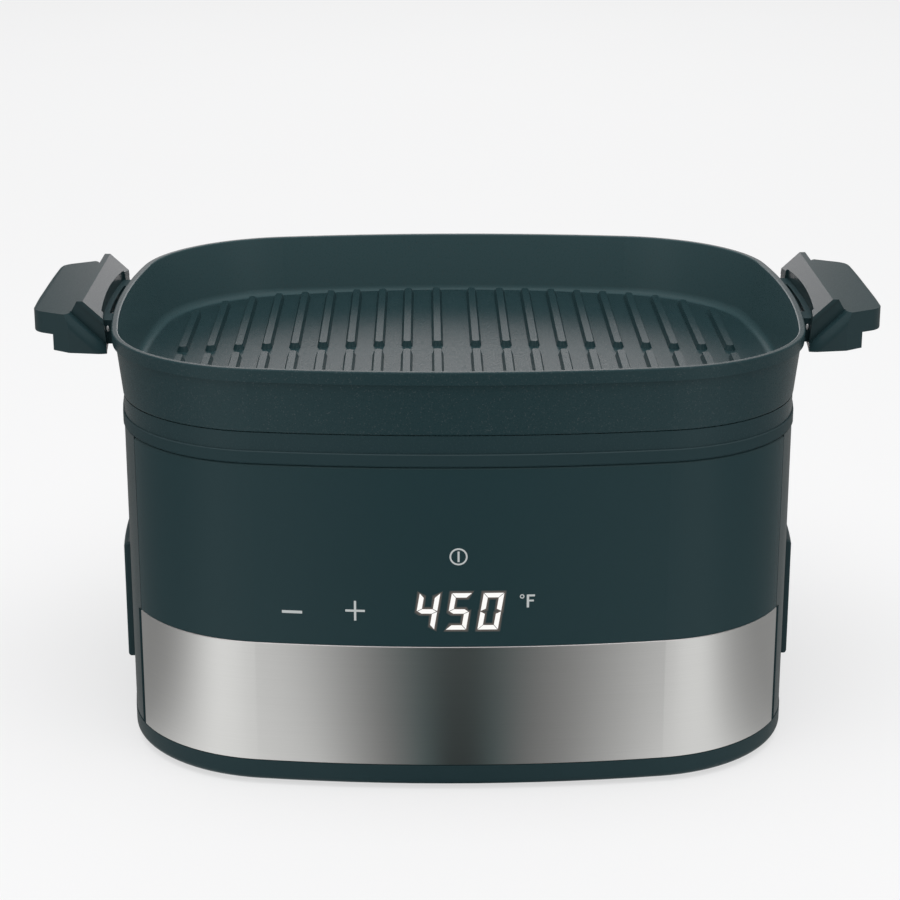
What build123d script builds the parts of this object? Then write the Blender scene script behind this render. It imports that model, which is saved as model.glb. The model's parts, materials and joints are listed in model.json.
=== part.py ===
# Countertop grill: a heated, fan-assisted base with a touch front, and a lift-off ridged grill pan.
# Millimetres. +X to the right, +Y to the rear, +Z up. Origin: centre of the footprint, on the worktop.
import os
from math import atan2, cos, degrees, hypot, radians, sin, sqrt

from build123d import *

os.makedirs("parts", exist_ok=True)

# Plan outline of the pan's rim: two shallow arcs front and back, two at the sides, four at the corners
rim_half_width = 176.5
rim_half_depth = 152.0
front_arc_radius = 675.0
side_arc_radius = 547.5
corner_radius = 85.0

# How far other outlines lie inside the rim's outline
body_inset = 4.8
fascia_inset = 4.7
band_inset = 4.45
collar_inset = 4.2
seat_inset = 5.0
plinth_inset = 4.5

# Heights of the stack, from the worktop up
foot_stand_out = 2.0
plinth_height = 11.0
band_height = 62.4
fascia_height = 90.6
collar_height = 6.5
seat_height = 8.9
pan_wall_height = 32.2

# Levels that follow from the heights
plinth_bottom = foot_stand_out
plinth_top = plinth_bottom + plinth_height
band_top = plinth_top + band_height
collar_bottom = band_top + fascia_height
collar_top = collar_bottom + collar_height
seat_top = collar_top + seat_height
rim_top = seat_top + pan_wall_height

# Walls and clearances
shell_wall = 2.6
plinth_wall = 3.0
panel_gap = 0.25
fit_gap = 0.3
sliding_gap = 0.03
screw_gap = 0.2
thread_gap = 0.05
head_gap = 0.6
panel_foot_gap = 0.15
fascia_top_gap = 0.3
band_top_gap = 0.05

# How far a cutting body runs past what it cuts
cut_over = 20.0

# Front panels
seam_angle = 26.0
fascia_thickness = 3.0
band_thickness = 0.9
fascia_corner = 1.4
fascia_bevel = 0.6
band_side_gap = 1.0
band_bevel = 0.3

# Grill pan
rim_band_height = 6.3
rim_band_draft = 0.4
rim_edge_radius = 0.8
pan_wall_inset = 1.9
pan_foot_radius = 1.6
rim_width = 3.3
pan_edge_inset = 4.8
pan_spigot_inset = 8.2
pan_spigot_depth = 4.0
hollow_low_inset = 9.0
gutter_radius = 5.0
gutter_above_seat = -1.0
crown_inset = 17.0
crown_rise = 3.35
crown_radius = 3750.0

# Ridges of the pan
ridge_pitch = 14.9
ridge_inner_pitch = 16.15
ridge_first = 10.15
ridges_per_quarter = 10
ridge_width = 6.5
ridge_height = 2.9
ridge_draft = 23.0
ridge_row_gap = 12.2
ridge_end_margin = 5.0
ridge_sink = 0.4

# Pan handles
handle_gap = 5.3
handle_ridge_rise = 10.2
handle_inner_rise = 4.6
handle_wall_draft = 2.8
handle_ridge_out = 6.0
handle_ridge_width = 3.0
handle_crease_out = 12.0
handle_grip_rise = 4.9
handle_grip_out = 34.2
handle_grip_thickness = 11.0
handle_block_out = 21.2
handle_block_drop = 16.0
handle_block_tilt = 1.8
handle_half_length = 61.0
shield_half_length = 54.0
shield_step = 0.8
handle_corner = 12.0
handle_corner_cut = 10.5
handle_end_past_crease = 0.8
handle_bow_ends = 2.5
handle_edge_radius = 1.5
handle_grip_radius = 4.0
handle_foot_radius = 1.5
handle_crease_radius = 4.0
handle_ridge_radius = 0.9
scoop_past_crease = 0.8
scoop_foot_in = 8.0
scoop_foot_rise = 0.65
scoop_round = 5.0

# Handle brackets and their screws
bracket_half_length = 44.0
bracket_plate = 3.0
bracket_height = 12.3
bracket_top_drop = 2.0
bracket_foot_length = 14.0
handle_screw_offset = 18.0
handle_screw_radius = 2.0
handle_screw_head = 3.5
handle_screw_head_height = 1.7
handle_screw_length = 14.0
handle_screw_seat = 0.25

# Seat ring and top collar
seat_ledge_inset = 13.0
seat_lip_step = 1.0
collar_inner_inset = 21.0
collar_skirt = 6.0
collar_low_chamfer = 0.9
collar_top_chamfer = 0.4

# Side carry grips
grip_stand_out = 3.5
grip_bottom = 33.8
grip_top = 96.5
grip_half_length = 56.0
grip_pocket_depth = 15.5
grip_pocket_half_length = 44.0
grip_pocket_bottom = 44.0
grip_pocket_height = 42.0
grip_wall = 2.4
grip_cup_lap = 0.5
grip_top_radius = 2.4
grip_edge_radius = 1.5
grip_pocket_radius = 9.0

# Base plinth
plinth_radius = 3.6
floor_slot_length = 46.0
floor_slot_width = 4.4
floor_slot_pitch = 11.0
floor_slot_row_pitch = 62.0
floor_slot_columns = 9

# Feet
foot_radius = 9.0
foot_gap = 0.1
foot_height = 4.0
foot_x = 118.0
foot_y = 98.0

# Housing screws, up through the plinth into bosses in the housing
boss_radius = 5.0
boss_height = 30.0
boss_side_angle = 15.0
boss_end_angle = 68.0
boss_sink = 0.6
boss_blind_end = 4.0
screw_radius = 1.9
screw_head_radius = 4.0
screw_head_height = 3.0
screw_length = 22.0

# Heating chamber under the pan
deck_sheet = 1.2
deck_flange_inset = 14.0
deck_depth = 46.0
deck_draft = 6.0
deck_corner_radius = 6.0
deck_shaft_gap = 4.0
deck_screw_out = 7.0
deck_screw_half_pitch = 10.0
deck_screw_end = 2.5
ledge_depth = 2.0
insulation_height = 7.0
insulation_margin = 10.0
pad_shaft_gap = 8.0
pad_probe_gap = 2.0
pad_lead_gap = 8.0
pad_bracket_gap = 2.0

# Heating element
element_radius = 3.5
element_half_width = 122.0
element_half_depth = 92.0
element_above_deck = 32.0
element_bend = 32.0
element_drop_bend = 12.0
element_lead_gap = 16.0
lead_below_pad = 9.0
clip_sheet = 1.5
clip_edge = 3.0
clip_foot = 5.0

# Fans and motor
shaft_radius = 3.0
fan_radius = 72.0
fan_height = 13.0
fan_blades = 12
fan_blade_start = 24.0
fan_blade_end_gap = 2.0
fan_blade_sheet = 1.2
fan_hub_wall = 6.0
blade_tilt = 28.0
fan_above_deck = 4.0
guard_radius = 84.0
guard_above_fan = 5.0
guard_sheet = 1.2
guard_slots = 10
guard_slot_place = 54.0
guard_slot_length = 34.0
guard_slot_width = 8.0
guard_inner_place = 25.0
guard_inner_length = 16.0
guard_inner_width = 6.0
guard_leg_place = 79.5
guard_leg_radius = 2.6
nut_height = 4.0
nut_wall = 2.5
cooling_radius = 46.0
cooling_height = 9.0
cooling_blades = 7
cooling_blade_start = 4.0
cooling_blade_chord = 16.0
cooling_blade_sheet = 1.4
motor_radius = 28.0
motor_height = 34.0
motor_below_deck = 34.0
motor_edge_radius = 2.5
motor_floor = 8.0
motor_nose_height = 3.0
motor_nose_wall = 5.0
motor_fins = 10
motor_fin_depth = 4.0
motor_fin_gap = 3.4
motor_screw_x = 18.0
motor_screw_radius = 1.5
motor_screw_reach = 7.0
small_head_radius = 3.0
small_head_height = 2.0
bracket_sheet = 2.0
bracket_foot = 14.0
bracket_reach = 60.0
bracket_width = 34.0

# Temperature probe in the deck
probe_x = 102.0
probe_stem_radius = 3.6
probe_cap_radius = 9.0
probe_cap_height = 4.5
probe_holder_radius = 7.0
probe_holder_height = 34.0
spring_radius = 5.2
spring_wire = 0.6
spring_turns = 5
spring_end_gap = 0.2
probe_cap_edge = 1.5
probe_stem_in_holder = 20.0
probe_holder_flange = 4.0
probe_holder_flange_height = 1.5
probe_lead_step = 0.8

# Thermal fuse under the insulation
fuse_radius = 3.0
fuse_half_length = 18.0
fuse_y = -60.0
fuse_clip_half_width = 6.0
fuse_clip_height = 4.0

# Control board and display behind the front
board_thickness = 1.6
board_behind_carrier = 3.2
board_left = -98.0
board_right = 58.0
board_bottom = 80.0
board_top = 136.0
display_width = 54.0
display_height = 26.0
display_frame = 6.0
display_x = 5.5
display_z = 93.8
touch_radius = 4.5
touch_gap = 1.0
touch_places = [(0.0, 121.8), (-81.1, 94.0), (-50.7, 94.5)]
board_hole_edge = 5.0
board_boss_radius = 3.2
board_screw_head_radius = 2.8
board_screw_head_height = 1.8
board_screw_radius = 1.4
board_screw_reach = 3.4

# Power board on the plinth
power_board_from_side = 88.5
power_board_y = 20.0
power_board_width = 104.0
power_board_depth = 118.0
power_board_lift = 8.0
standoff_radius = 3.6
standoff_edge = 6.0
power_screw_reach = 5.0

# What the power board carries: place on the board, then size
relay_place = (14.0, 14.0)
relay_size = (28.0, 20.0, 22.0)
part_edge_radius = 1.0
capacitor_place = (74.0, 26.0)
capacitor_radius = 10.0
capacitor_height = 26.0
transformer_place = (16.0, 52.0)
transformer_core = (38.0, 34.0, 8.0)
transformer_coil_edge = 5.0
transformer_coil_height = 22.0
sink_place = (64.0, 52.0)
sink_width = 30.0
sink_depth = 40.0
sink_base = 4.0
sink_height = 26.0
sink_fins = 6
sink_fin_width = 2.0

# Rear wall: vent insert, cord gland and terminal block
vent_half_width = 62.0
vent_bottom = 84.0
vent_height = 40.0
vent_slots = 13
vent_slot_width = 3.4
vent_slot_end = 4.0
vent_slot_side = 6.0
vent_lap = 4.0
gland_from_side = 80.5
gland_z = 38.0
gland_bore_radius = 3.6
gland_radius = 7.0
gland_flange_radius = 10.0
gland_flange = 3.2
gland_length = 14.0
terminal_from_gland = 26.0
terminal_behind_gland = 18.4
terminal_half_width = 20.0
terminal_depth = 22.0
terminal_height = 22.0
terminal_bore_radius = 2.6
terminal_bore_pitch = 12.0
terminal_bore_rise = 10.0


def corner_centre():
    """Centre of the corner arc at +X +Y, which is tangent to the back arc and the right side arc."""
    back_y = rim_half_depth - front_arc_radius
    side_x = rim_half_width - side_arc_radius
    to_back = front_arc_radius - corner_radius
    to_side = side_arc_radius - corner_radius
    span = hypot(side_x, back_y)
    along = (to_back**2 - to_side**2 + span**2) / (2 * span)
    across = sqrt(to_back**2 - along**2)
    unit_x, unit_y = side_x / span, -back_y / span
    return along * unit_x + across * unit_y, back_y + along * unit_y - across * unit_x


corner_x, corner_y = corner_centre()
back_centre_y = rim_half_depth - front_arc_radius
side_centre_x = rim_half_width - side_arc_radius
back_turn = degrees(atan2(corner_y - back_centre_y, corner_x))
side_turn = degrees(atan2(corner_y, corner_x - side_centre_x))


def plan(inset, level):
    """The outline of the rim drawn in by inset, as a face on the given level."""
    side, corner, back = side_arc_radius - inset, corner_radius - inset, front_arc_radius - inset
    turn = back_turn - side_turn
    with BuildSketch(Plane.XY.offset(level)) as face:
        with BuildLine():
            CenterArc((side_centre_x, 0), side, -side_turn, 2 * side_turn)
            CenterArc((corner_x, corner_y), corner, side_turn, turn)
            CenterArc((0, back_centre_y), back, back_turn, 180 - 2 * back_turn)
            CenterArc((-corner_x, corner_y), corner, 180 - back_turn, turn)
            CenterArc((-side_centre_x, 0), side, 180 - side_turn, 2 * side_turn)
            CenterArc((-corner_x, -corner_y), corner, 180 + side_turn, turn)
            CenterArc((0, -back_centre_y), back, 180 + back_turn, 180 - 2 * back_turn)
            CenterArc((corner_x, -corner_y), corner, -back_turn, turn)
        make_face()
    return face.sketch


def plan_depth(x, inset):
    """How far the outline drawn in by inset reaches along Y at the place x."""
    x = abs(x)
    back, corner = front_arc_radius - inset, corner_radius - inset
    if x <= back * cos(radians(back_turn)):
        return back_centre_y + sqrt(back**2 - x**2)
    return corner_y + sqrt(max(corner**2 - (x - corner_x) ** 2, 0))


# Places and insets that follow from the outline and the walls
carrier_inset = fascia_inset + fascia_thickness + panel_gap
carrier_inner = carrier_inset + shell_wall
board_face_y = board_behind_carrier - plan_depth(board_left, carrier_inner)
power_board_x = power_board_from_side - rim_half_width
gland_x = rim_half_width - gland_from_side
gland_y = plan_depth(gland_x, body_inset)


def ring(outer_inset, inner_inset, bottom, top):
    """A level ring between two insets of the outline."""
    with BuildPart() as body:
        extrude(plan(outer_inset, bottom), amount=top - bottom)
        extrude(plan(inner_inset, bottom), amount=top - bottom, mode=Mode.SUBTRACT)
    return body.part


def front_zone(bottom, top, gap=0.0):
    """The space in front of the two seams, drawn back from each seam by gap."""
    angle = radians(seam_angle)
    reach = 2 * rim_half_width
    shift_x, shift_y = gap * sin(angle), gap * cos(angle)
    near_x, near_y = corner_x - shift_x, -corner_y - shift_y
    far_x, far_y = near_x + reach * cos(angle), near_y - reach * sin(angle)
    with BuildPart() as zone:
        with BuildSketch(Plane.XY.offset(bottom)):
            with BuildLine():
                Polyline(
                    (-near_x, near_y),
                    (near_x, near_y),
                    (far_x, far_y),
                    (far_x, -reach),
                    (-far_x, -reach),
                    (-far_x, far_y),
                    close=True,
                )
            make_face()
        extrude(amount=top - bottom)
    return zone.part


def front_panel(outer_inset, thickness, bottom, top, gap):
    """A curved panel that fills the front zone between its seams."""
    with BuildPart() as panel:
        add(ring(outer_inset, outer_inset + thickness, bottom, top))
        add(front_zone(bottom, top, gap), mode=Mode.INTERSECT)
    return panel.part


def disc(x, y, bottom, top, radius):
    """An upright cylinder between two levels."""
    with BuildPart(Plane.XY.offset(bottom)) as body:
        with Locations((x, y)):
            Cylinder(radius, top - bottom, align=(Align.CENTER, Align.CENTER, Align.MIN))
    return body.part


def block(low, high):
    """A box between two corners."""
    with BuildPart() as body:
        with Locations([tuple((a + b) / 2 for a, b in zip(low, high))]):
            Box(*[b - a for a, b in zip(low, high)])
    return body.part


def rod_along_y(x, z, front, back, radius):
    """A cylinder along Y between two depths."""
    with BuildPart(Plane.XZ.offset(-front)) as body:
        with Locations((x, z)):
            Cylinder(radius, back - front, align=(Align.CENTER, Align.CENTER, Align.MAX))
    return body.part


def rod_along_x(y, z, left, right, radius):
    """A cylinder along X between two places."""
    with BuildPart(Plane.YZ.offset(left)) as body:
        with Locations((y, z)):
            Cylinder(radius, right - left, align=(Align.CENTER, Align.CENTER, Align.MIN))
    return body.part


# Grill pan: the cast bowl with its rim band, drafted wall, sunk floor, crowned plate and ridges
hollow_floor = seat_top + gutter_above_seat
band_bottom = rim_top - rim_band_height

with BuildPart() as pan_outside:
    loft([plan(pan_edge_inset, seat_top), plan(pan_wall_inset, band_bottom)], ruled=True)
    fillet(pan_outside.faces().sort_by(Axis.Z)[0].edges(), radius=pan_foot_radius)
    with BuildPart(mode=Mode.PRIVATE) as pan_band:
        loft([plan(rim_band_draft, band_bottom), plan(0.0, rim_top)], ruled=True)
    add(pan_band.part)
    extrude(plan(pan_spigot_inset, seat_top - pan_spigot_depth), amount=pan_spigot_depth + 2)

with BuildPart() as pan_hollow:
    loft([plan(hollow_low_inset, hollow_floor), plan(rim_width, rim_top)], ruled=True)
    fillet(pan_hollow.faces().sort_by(Axis.Z)[0].edges(), radius=gutter_radius)

with BuildPart() as crown:
    extrude(plan(crown_inset, hollow_floor - 1), amount=2 * crown_rise + 2)
    with BuildSketch(Plane.XZ.offset(-rim_half_depth)) as crown_section:
        with Locations((0, hollow_floor + crown_rise - crown_radius)):
            Circle(crown_radius)
    extrude(amount=2 * rim_half_depth, mode=Mode.INTERSECT)

with BuildPart() as grill_pan:
    add(pan_outside.part)
    add(pan_hollow.part, mode=Mode.SUBTRACT)
    add(crown.part)
    for column in range(ridges_per_quarter):
        if column == 0:
            ridge_x = ridge_first
        else:
            ridge_x = ridge_first + ridge_inner_pitch + (column - 1) * ridge_pitch
        plate_level = hollow_floor + crown_rise - ridge_x**2 / (2 * crown_radius)
        near = ridge_row_gap / 2
        far = plan_depth(ridge_x, crown_inset) - ridge_end_margin
        centres = [(sx * ridge_x, sy * (near + far) / 2) for sx in (-1, 1) for sy in (-1, 1)]
        with BuildSketch(Plane.XY.offset(plate_level - ridge_sink)) as ridge_base:
            with Locations(*centres):
                SlotOverall(far - near, ridge_width, rotation=90)
        extrude(ridge_base.sketch, amount=ridge_height + ridge_sink, taper=ridge_draft)
    rim_edges = grill_pan.edges().group_by(Axis.Z)[-1]
    fillet(rim_edges, radius=rim_edge_radius)


# Pan handles: one straight cross-section, trimmed to its plan, hollowed by the pan and scooped at the ends
handle_inner = rim_half_width + handle_gap
handle_outer = handle_inner + handle_grip_out
handle_ridge_x = handle_inner + handle_ridge_out
handle_crease_x = handle_inner + handle_crease_out
handle_foot_level = rim_top - handle_block_drop
handle_grip_level = rim_top + handle_grip_rise
handle_ridge_level = rim_top + handle_ridge_rise
shield_slope = (handle_ridge_rise - handle_inner_rise) / handle_ridge_out
bracket_top = rim_top - bracket_top_drop
bracket_bottom = bracket_top - bracket_height


def handle_section():
    """Cross-section of the right handle, on the XZ plane."""
    grip_foot = handle_grip_level - handle_grip_thickness
    block_x = handle_inner + handle_block_out
    near_x = handle_inner - cut_over
    near_level = handle_ridge_level - shield_slope * (handle_ridge_x - near_x)
    with BuildSketch(Plane.XZ) as section:
        with BuildLine():
            Polyline(
                (near_x, handle_foot_level),
                (near_x, near_level),
                (handle_ridge_x, handle_ridge_level),
                (handle_ridge_x + handle_ridge_width, handle_ridge_level),
                (handle_crease_x, handle_grip_level),
                (handle_outer, handle_grip_level),
                (handle_outer, grip_foot),
                (block_x, grip_foot),
                (block_x, handle_foot_level + handle_block_tilt),
                close=True,
            )
        make_face()
        corners = section.vertices()
        outer = [v for v in corners if v.X > handle_outer - 1]
        block_foot = [v for v in corners if v.X > block_x - 1 and v.Z < grip_foot - 1]
        fillet([v for v in outer if v.Z > handle_grip_level - 1], radius=handle_edge_radius)
        fillet([v for v in outer if v.Z < grip_foot + 1], radius=handle_grip_radius)
        fillet([v for v in corners if abs(v.X - handle_crease_x) < 0.5], radius=handle_crease_radius)
        fillet([v for v in corners if v.Z > handle_ridge_level - 0.5], radius=handle_ridge_radius)
        fillet(block_foot, radius=handle_foot_radius)
    return section.sketch


def handle_plan():
    """Plan of the right handle: slanted ends, rounded corners and a slightly bowed grip."""
    end_x = handle_crease_x + handle_end_past_crease
    bow_x = handle_outer - handle_bow_ends
    cut_y = handle_half_length - handle_corner_cut
    with BuildSketch() as trim:
        with BuildLine():
            Polyline(
                (handle_inner - cut_over, -handle_half_length),
                (end_x, -handle_half_length),
                (bow_x, -cut_y),
                (handle_outer, 0),
                (bow_x, cut_y),
                (end_x, handle_half_length),
                (handle_inner - cut_over, handle_half_length),
                close=True,
            )
        make_face()
        bends = [v for v in trim.vertices() if abs(v.X - bow_x) < 1]
        fillet(bends, radius=handle_corner)
    return trim.sketch


def end_cut(points, start):
    """What is cut away beyond the depth start, under a closed outline on the XZ plane."""
    with BuildPart() as cut:
        with BuildSketch(Plane.XZ.offset(-start)):
            with BuildLine():
                Polyline(*points, close=True)
            make_face()
        extrude(amount=-(handle_half_length + cut_over - start))
    return cut.part


def handle_scoop():
    """What the rear end loses beyond its shield: a slanted cut, a step and a rounded end edge."""
    high_x = handle_crease_x + scoop_past_crease
    foot_x = handle_inner - scoop_foot_in
    high = handle_grip_level + 0.1
    foot = handle_foot_level + scoop_foot_rise
    near_x = foot_x - cut_over
    plate_x = handle_ridge_x + handle_ridge_width
    plate_foot_x = plate_x - (handle_ridge_level - foot) / shield_slope
    slant = degrees(atan2(high - foot, high_x - foot_x))
    above = rim_top + cut_over
    edge = Plane(
        origin=(foot_x, handle_half_length, foot),
        x_dir=(0, 1, 0),
        z_dir=(cos(radians(slant)), 0, sin(radians(slant))),
    )
    with BuildPart() as scoop:
        slanted = [(high_x, high), (foot_x, foot)]
        add(end_cut(slanted + [(near_x, foot), (near_x, above), (high_x, above)], shield_half_length))
        under_plate = slanted + [(plate_foot_x, foot), (plate_x, handle_ridge_level)]
        add(end_cut(under_plate, shield_half_length - shield_step))
        with BuildPart(mode=Mode.PRIVATE) as rounding:
            with BuildSketch(edge.offset(-cut_over)) as corner:
                with Locations((-scoop_round / 2, -scoop_round / 2)):
                    Rectangle(scoop_round, scoop_round)
                with Locations((-scoop_round, -scoop_round)):
                    Circle(scoop_round, mode=Mode.SUBTRACT)
            extrude(amount=4 * cut_over)
        add(rounding.part)
    return scoop.part


def handle_wall():
    """The space inside the handle: a drafted wall that follows the pan, and the bracket's recess."""
    low, high = handle_foot_level - 1, handle_ridge_level + 1
    with BuildPart() as wall:
        loft([plan(handle_wall_draft - handle_gap, low), plan(-handle_gap, high)], ruled=True)
        with BuildPart(mode=Mode.PRIVATE) as recess:
            extrude(plan(-handle_gap, bracket_bottom - fit_gap), amount=bracket_height + cut_over)
            half = bracket_half_length + fit_gap
            add(block((0, -half, 0), (2 * rim_half_width, half, 2 * rim_top)), mode=Mode.INTERSECT)
        add(recess.part)
    return wall.part


def make_handle():
    """The right handle."""
    with BuildPart() as body:
        extrude(handle_section(), amount=handle_half_length, both=True)
        with BuildPart(mode=Mode.PRIVATE) as trim:
            extrude(handle_plan(), amount=2 * rim_top)
        add(trim.part, mode=Mode.INTERSECT)
        add(handle_wall(), mode=Mode.SUBTRACT)
        scoop = handle_scoop()
        add(scoop, mode=Mode.SUBTRACT)
        add(mirror(scoop, about=Plane.XZ), mode=Mode.SUBTRACT)
    return body.part


with BuildPart() as pan_handle_right:
    add(make_handle())

with BuildPart() as pan_handle_left:
    add(mirror(pan_handle_right.part, about=Plane.YZ))

# Handle brackets: a curved plate behind each handle, standing on the pan's wall on two feet
handle_screw_z = (bracket_top + bracket_bottom) / 2


def handle_screw_x(out):
    """Where the outline grown by out lies at the place of a handle screw."""
    return side_centre_x + sqrt((side_arc_radius + out) ** 2 - handle_screw_offset**2)


with BuildPart() as handle_bracket_right:
    add(ring(-handle_gap, bracket_plate - handle_gap, bracket_bottom, bracket_top))
    with BuildPart(mode=Mode.PRIVATE) as bracket_feet:
        add(ring(bracket_plate - handle_gap, pan_edge_inset, bracket_bottom, bracket_top))
        inner_length = bracket_half_length - bracket_foot_length
        add(
            block((0, -inner_length, bracket_bottom), (rim_half_width + cut_over, inner_length, bracket_top)),
            mode=Mode.SUBTRACT,
        )
        add(pan_outside.part, mode=Mode.SUBTRACT)
    add(bracket_feet.part)
    add(
        block(
            (rim_half_width / 2, -bracket_half_length, bracket_bottom),
            (rim_half_width + cut_over, bracket_half_length, bracket_top),
        ),
        mode=Mode.INTERSECT,
    )
    for side in (-1, 1):
        place = (side * handle_screw_offset, handle_screw_z)
        far_x = rim_half_width + cut_over
        hole = rod_along_x(*place, rim_half_width, far_x, handle_screw_radius + screw_gap)
        add(hole, mode=Mode.SUBTRACT)

with BuildPart() as handle_bracket_left:
    add(mirror(handle_bracket_right.part, about=Plane.YZ))

# Handle screws: each runs from behind its bracket's plate into the handle
screw_face_x = handle_screw_x(handle_gap - bracket_plate) - handle_screw_seat
with BuildPart() as right_screws:
    for side in (-1, 1):
        place = (side * handle_screw_offset, handle_screw_z)
        head_x = screw_face_x - handle_screw_head_height
        add(rod_along_x(*place, head_x, screw_face_x, handle_screw_head))
        add(rod_along_x(*place, screw_face_x, screw_face_x + handle_screw_length, handle_screw_radius))

with BuildPart() as handle_screws:
    add(right_screws.part)
    add(mirror(right_screws.part, about=Plane.YZ))

screw_bores = []
for side in (-1, 1):
    place = (side * handle_screw_offset, handle_screw_z)
    end = screw_face_x + handle_screw_length + 1
    screw_bores.append(rod_along_x(*place, rim_half_width, end, handle_screw_radius + thread_gap))
for handle, flip in ((pan_handle_right, False), (pan_handle_left, True)):
    with handle:
        for bore in screw_bores:
            add(mirror(bore, about=Plane.YZ) if flip else bore, mode=Mode.SUBTRACT)

# Seat ring: a lip that carries the pan's wall, and a ledge just under its sunk floor
ledge_top = seat_top - pan_spigot_depth - fit_gap
with BuildPart() as pan_seat_ring:
    add(ring(seat_inset, pan_spigot_inset - fit_gap, collar_top, seat_top))
    add(ring(seat_inset + seat_lip_step, seat_ledge_inset, collar_top, ledge_top))

# Top collar: the satin ring under the seat, with a rebate for the deck and a skirt in the housing
flange_level = collar_top - ledge_depth
with BuildPart() as top_collar:
    extrude(plan(collar_inset, collar_bottom), amount=collar_height)
    chamfer(top_collar.faces().sort_by(Axis.Z)[0].edges(), length=collar_low_chamfer)
    chamfer(top_collar.faces().sort_by(Axis.Z)[-1].edges(), length=collar_top_chamfer)
    extrude(plan(collar_inner_inset, collar_bottom), amount=collar_height, mode=Mode.SUBTRACT)
    extrude(plan(deck_flange_inset - fit_gap, flange_level), amount=ledge_depth, mode=Mode.SUBTRACT)
    skirt_inset = carrier_inner + fit_gap
    add(ring(skirt_inset, skirt_inset + shell_wall, collar_bottom - collar_skirt, collar_bottom))


# Places of the screw bosses, on rings around the corner centres
def corner_point(angle, inset):
    """A point at the given angle around the rear right corner, inset from the rim."""
    reach = corner_radius - inset
    return corner_x + reach * cos(radians(angle)), corner_y + reach * sin(radians(angle))


side_boss = corner_point(boss_side_angle, body_inset + shell_wall + boss_radius - boss_sink)
end_boss = corner_point(boss_end_angle, carrier_inner + boss_radius - boss_sink)
rear_boss = corner_point(boss_end_angle, body_inset + shell_wall + boss_radius - boss_sink)
boss_places = [(sx * x, y) for sx in (-1, 1) for x, y in (side_boss, rear_boss)]
boss_places += [(sx * x, -y) for sx in (-1, 1) for x, y in (side_boss, end_boss)]

# Base plinth: the tray under everything, with screw posts, board standoffs, foot recesses and vents
plinth_floor = plinth_bottom + plinth_wall
board_level = plinth_floor + power_board_lift
standoff_out = power_board_width / 2 - standoff_edge
standoff_along = power_board_depth / 2 - standoff_edge
standoff_places = [
    (power_board_x + sx * standoff_out, power_board_y + sy * standoff_along)
    for sx in (-1, 1)
    for sy in (-1, 1)
]
foot_places = [(sx * foot_x, sy * foot_y) for sx in (-1, 1) for sy in (-1, 1)]
with BuildPart() as base_plinth:
    extrude(plan(plinth_inset, plinth_bottom), amount=plinth_height)
    fillet(base_plinth.faces().sort_by(Axis.Z)[0].edges(), radius=plinth_radius)
    extrude(plan(plinth_inset + plinth_wall, plinth_floor), amount=plinth_height, mode=Mode.SUBTRACT)
    for x, y in boss_places:
        add(disc(x, y, plinth_floor - 0.5, plinth_top, boss_radius))
        add(disc(x, y, plinth_bottom - 1, plinth_top + 1, screw_radius + screw_gap), mode=Mode.SUBTRACT)
        head_top = plinth_bottom + screw_head_height + head_gap
        add(disc(x, y, plinth_bottom - 1, head_top, screw_head_radius + head_gap), mode=Mode.SUBTRACT)
    for x, y in standoff_places:
        add(disc(x, y, plinth_floor - 0.5, board_level, standoff_radius))
        add(disc(x, y, plinth_floor, board_level + 1, board_screw_radius + thread_gap), mode=Mode.SUBTRACT)
    for x, y in foot_places:
        add(disc(x, y, plinth_bottom - 1, foot_height, foot_radius + foot_gap), mode=Mode.SUBTRACT)
    with BuildSketch(Plane.XY.offset(plinth_bottom - 1)) as floor_slots:
        with GridLocations(floor_slot_pitch, floor_slot_row_pitch, floor_slot_columns, 2):
            SlotOverall(floor_slot_length, floor_slot_width, rotation=90)
    extrude(floor_slots.sketch, amount=plinth_wall + 2, mode=Mode.SUBTRACT)

with BuildPart() as rubber_feet:
    for x, y in foot_places:
        add(disc(x, y, 0, foot_height, foot_radius))

with BuildPart() as housing_screws:
    head_top = plinth_bottom + screw_head_height + head_gap
    for x, y in boss_places:
        add(disc(x, y, head_top - screw_head_height, head_top, screw_head_radius))
        add(disc(x, y, head_top, head_top + screw_length, screw_radius))

# Outer housing: side and rear walls in one with the carrier behind the front panels
display_half = display_width / 2 + display_frame
boss_board_places = [
    (x, z)
    for x in (board_left + board_hole_edge, board_right - board_hole_edge)
    for z in (board_bottom + board_hole_edge, board_top - board_hole_edge)
]
with BuildPart() as side_cavity:
    extrude(plan(body_inset + shell_wall, plinth_top - 1), amount=collar_bottom - plinth_top + 2)
    add(front_zone(plinth_top - 2, collar_bottom + 2, -shell_wall), mode=Mode.SUBTRACT)

grip_opening_low = grip_pocket_bottom - grip_wall - fit_gap
grip_opening_high = grip_pocket_bottom + grip_pocket_height + grip_wall + fit_gap
grip_opening_half = grip_pocket_half_length + grip_wall + fit_gap

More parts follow.
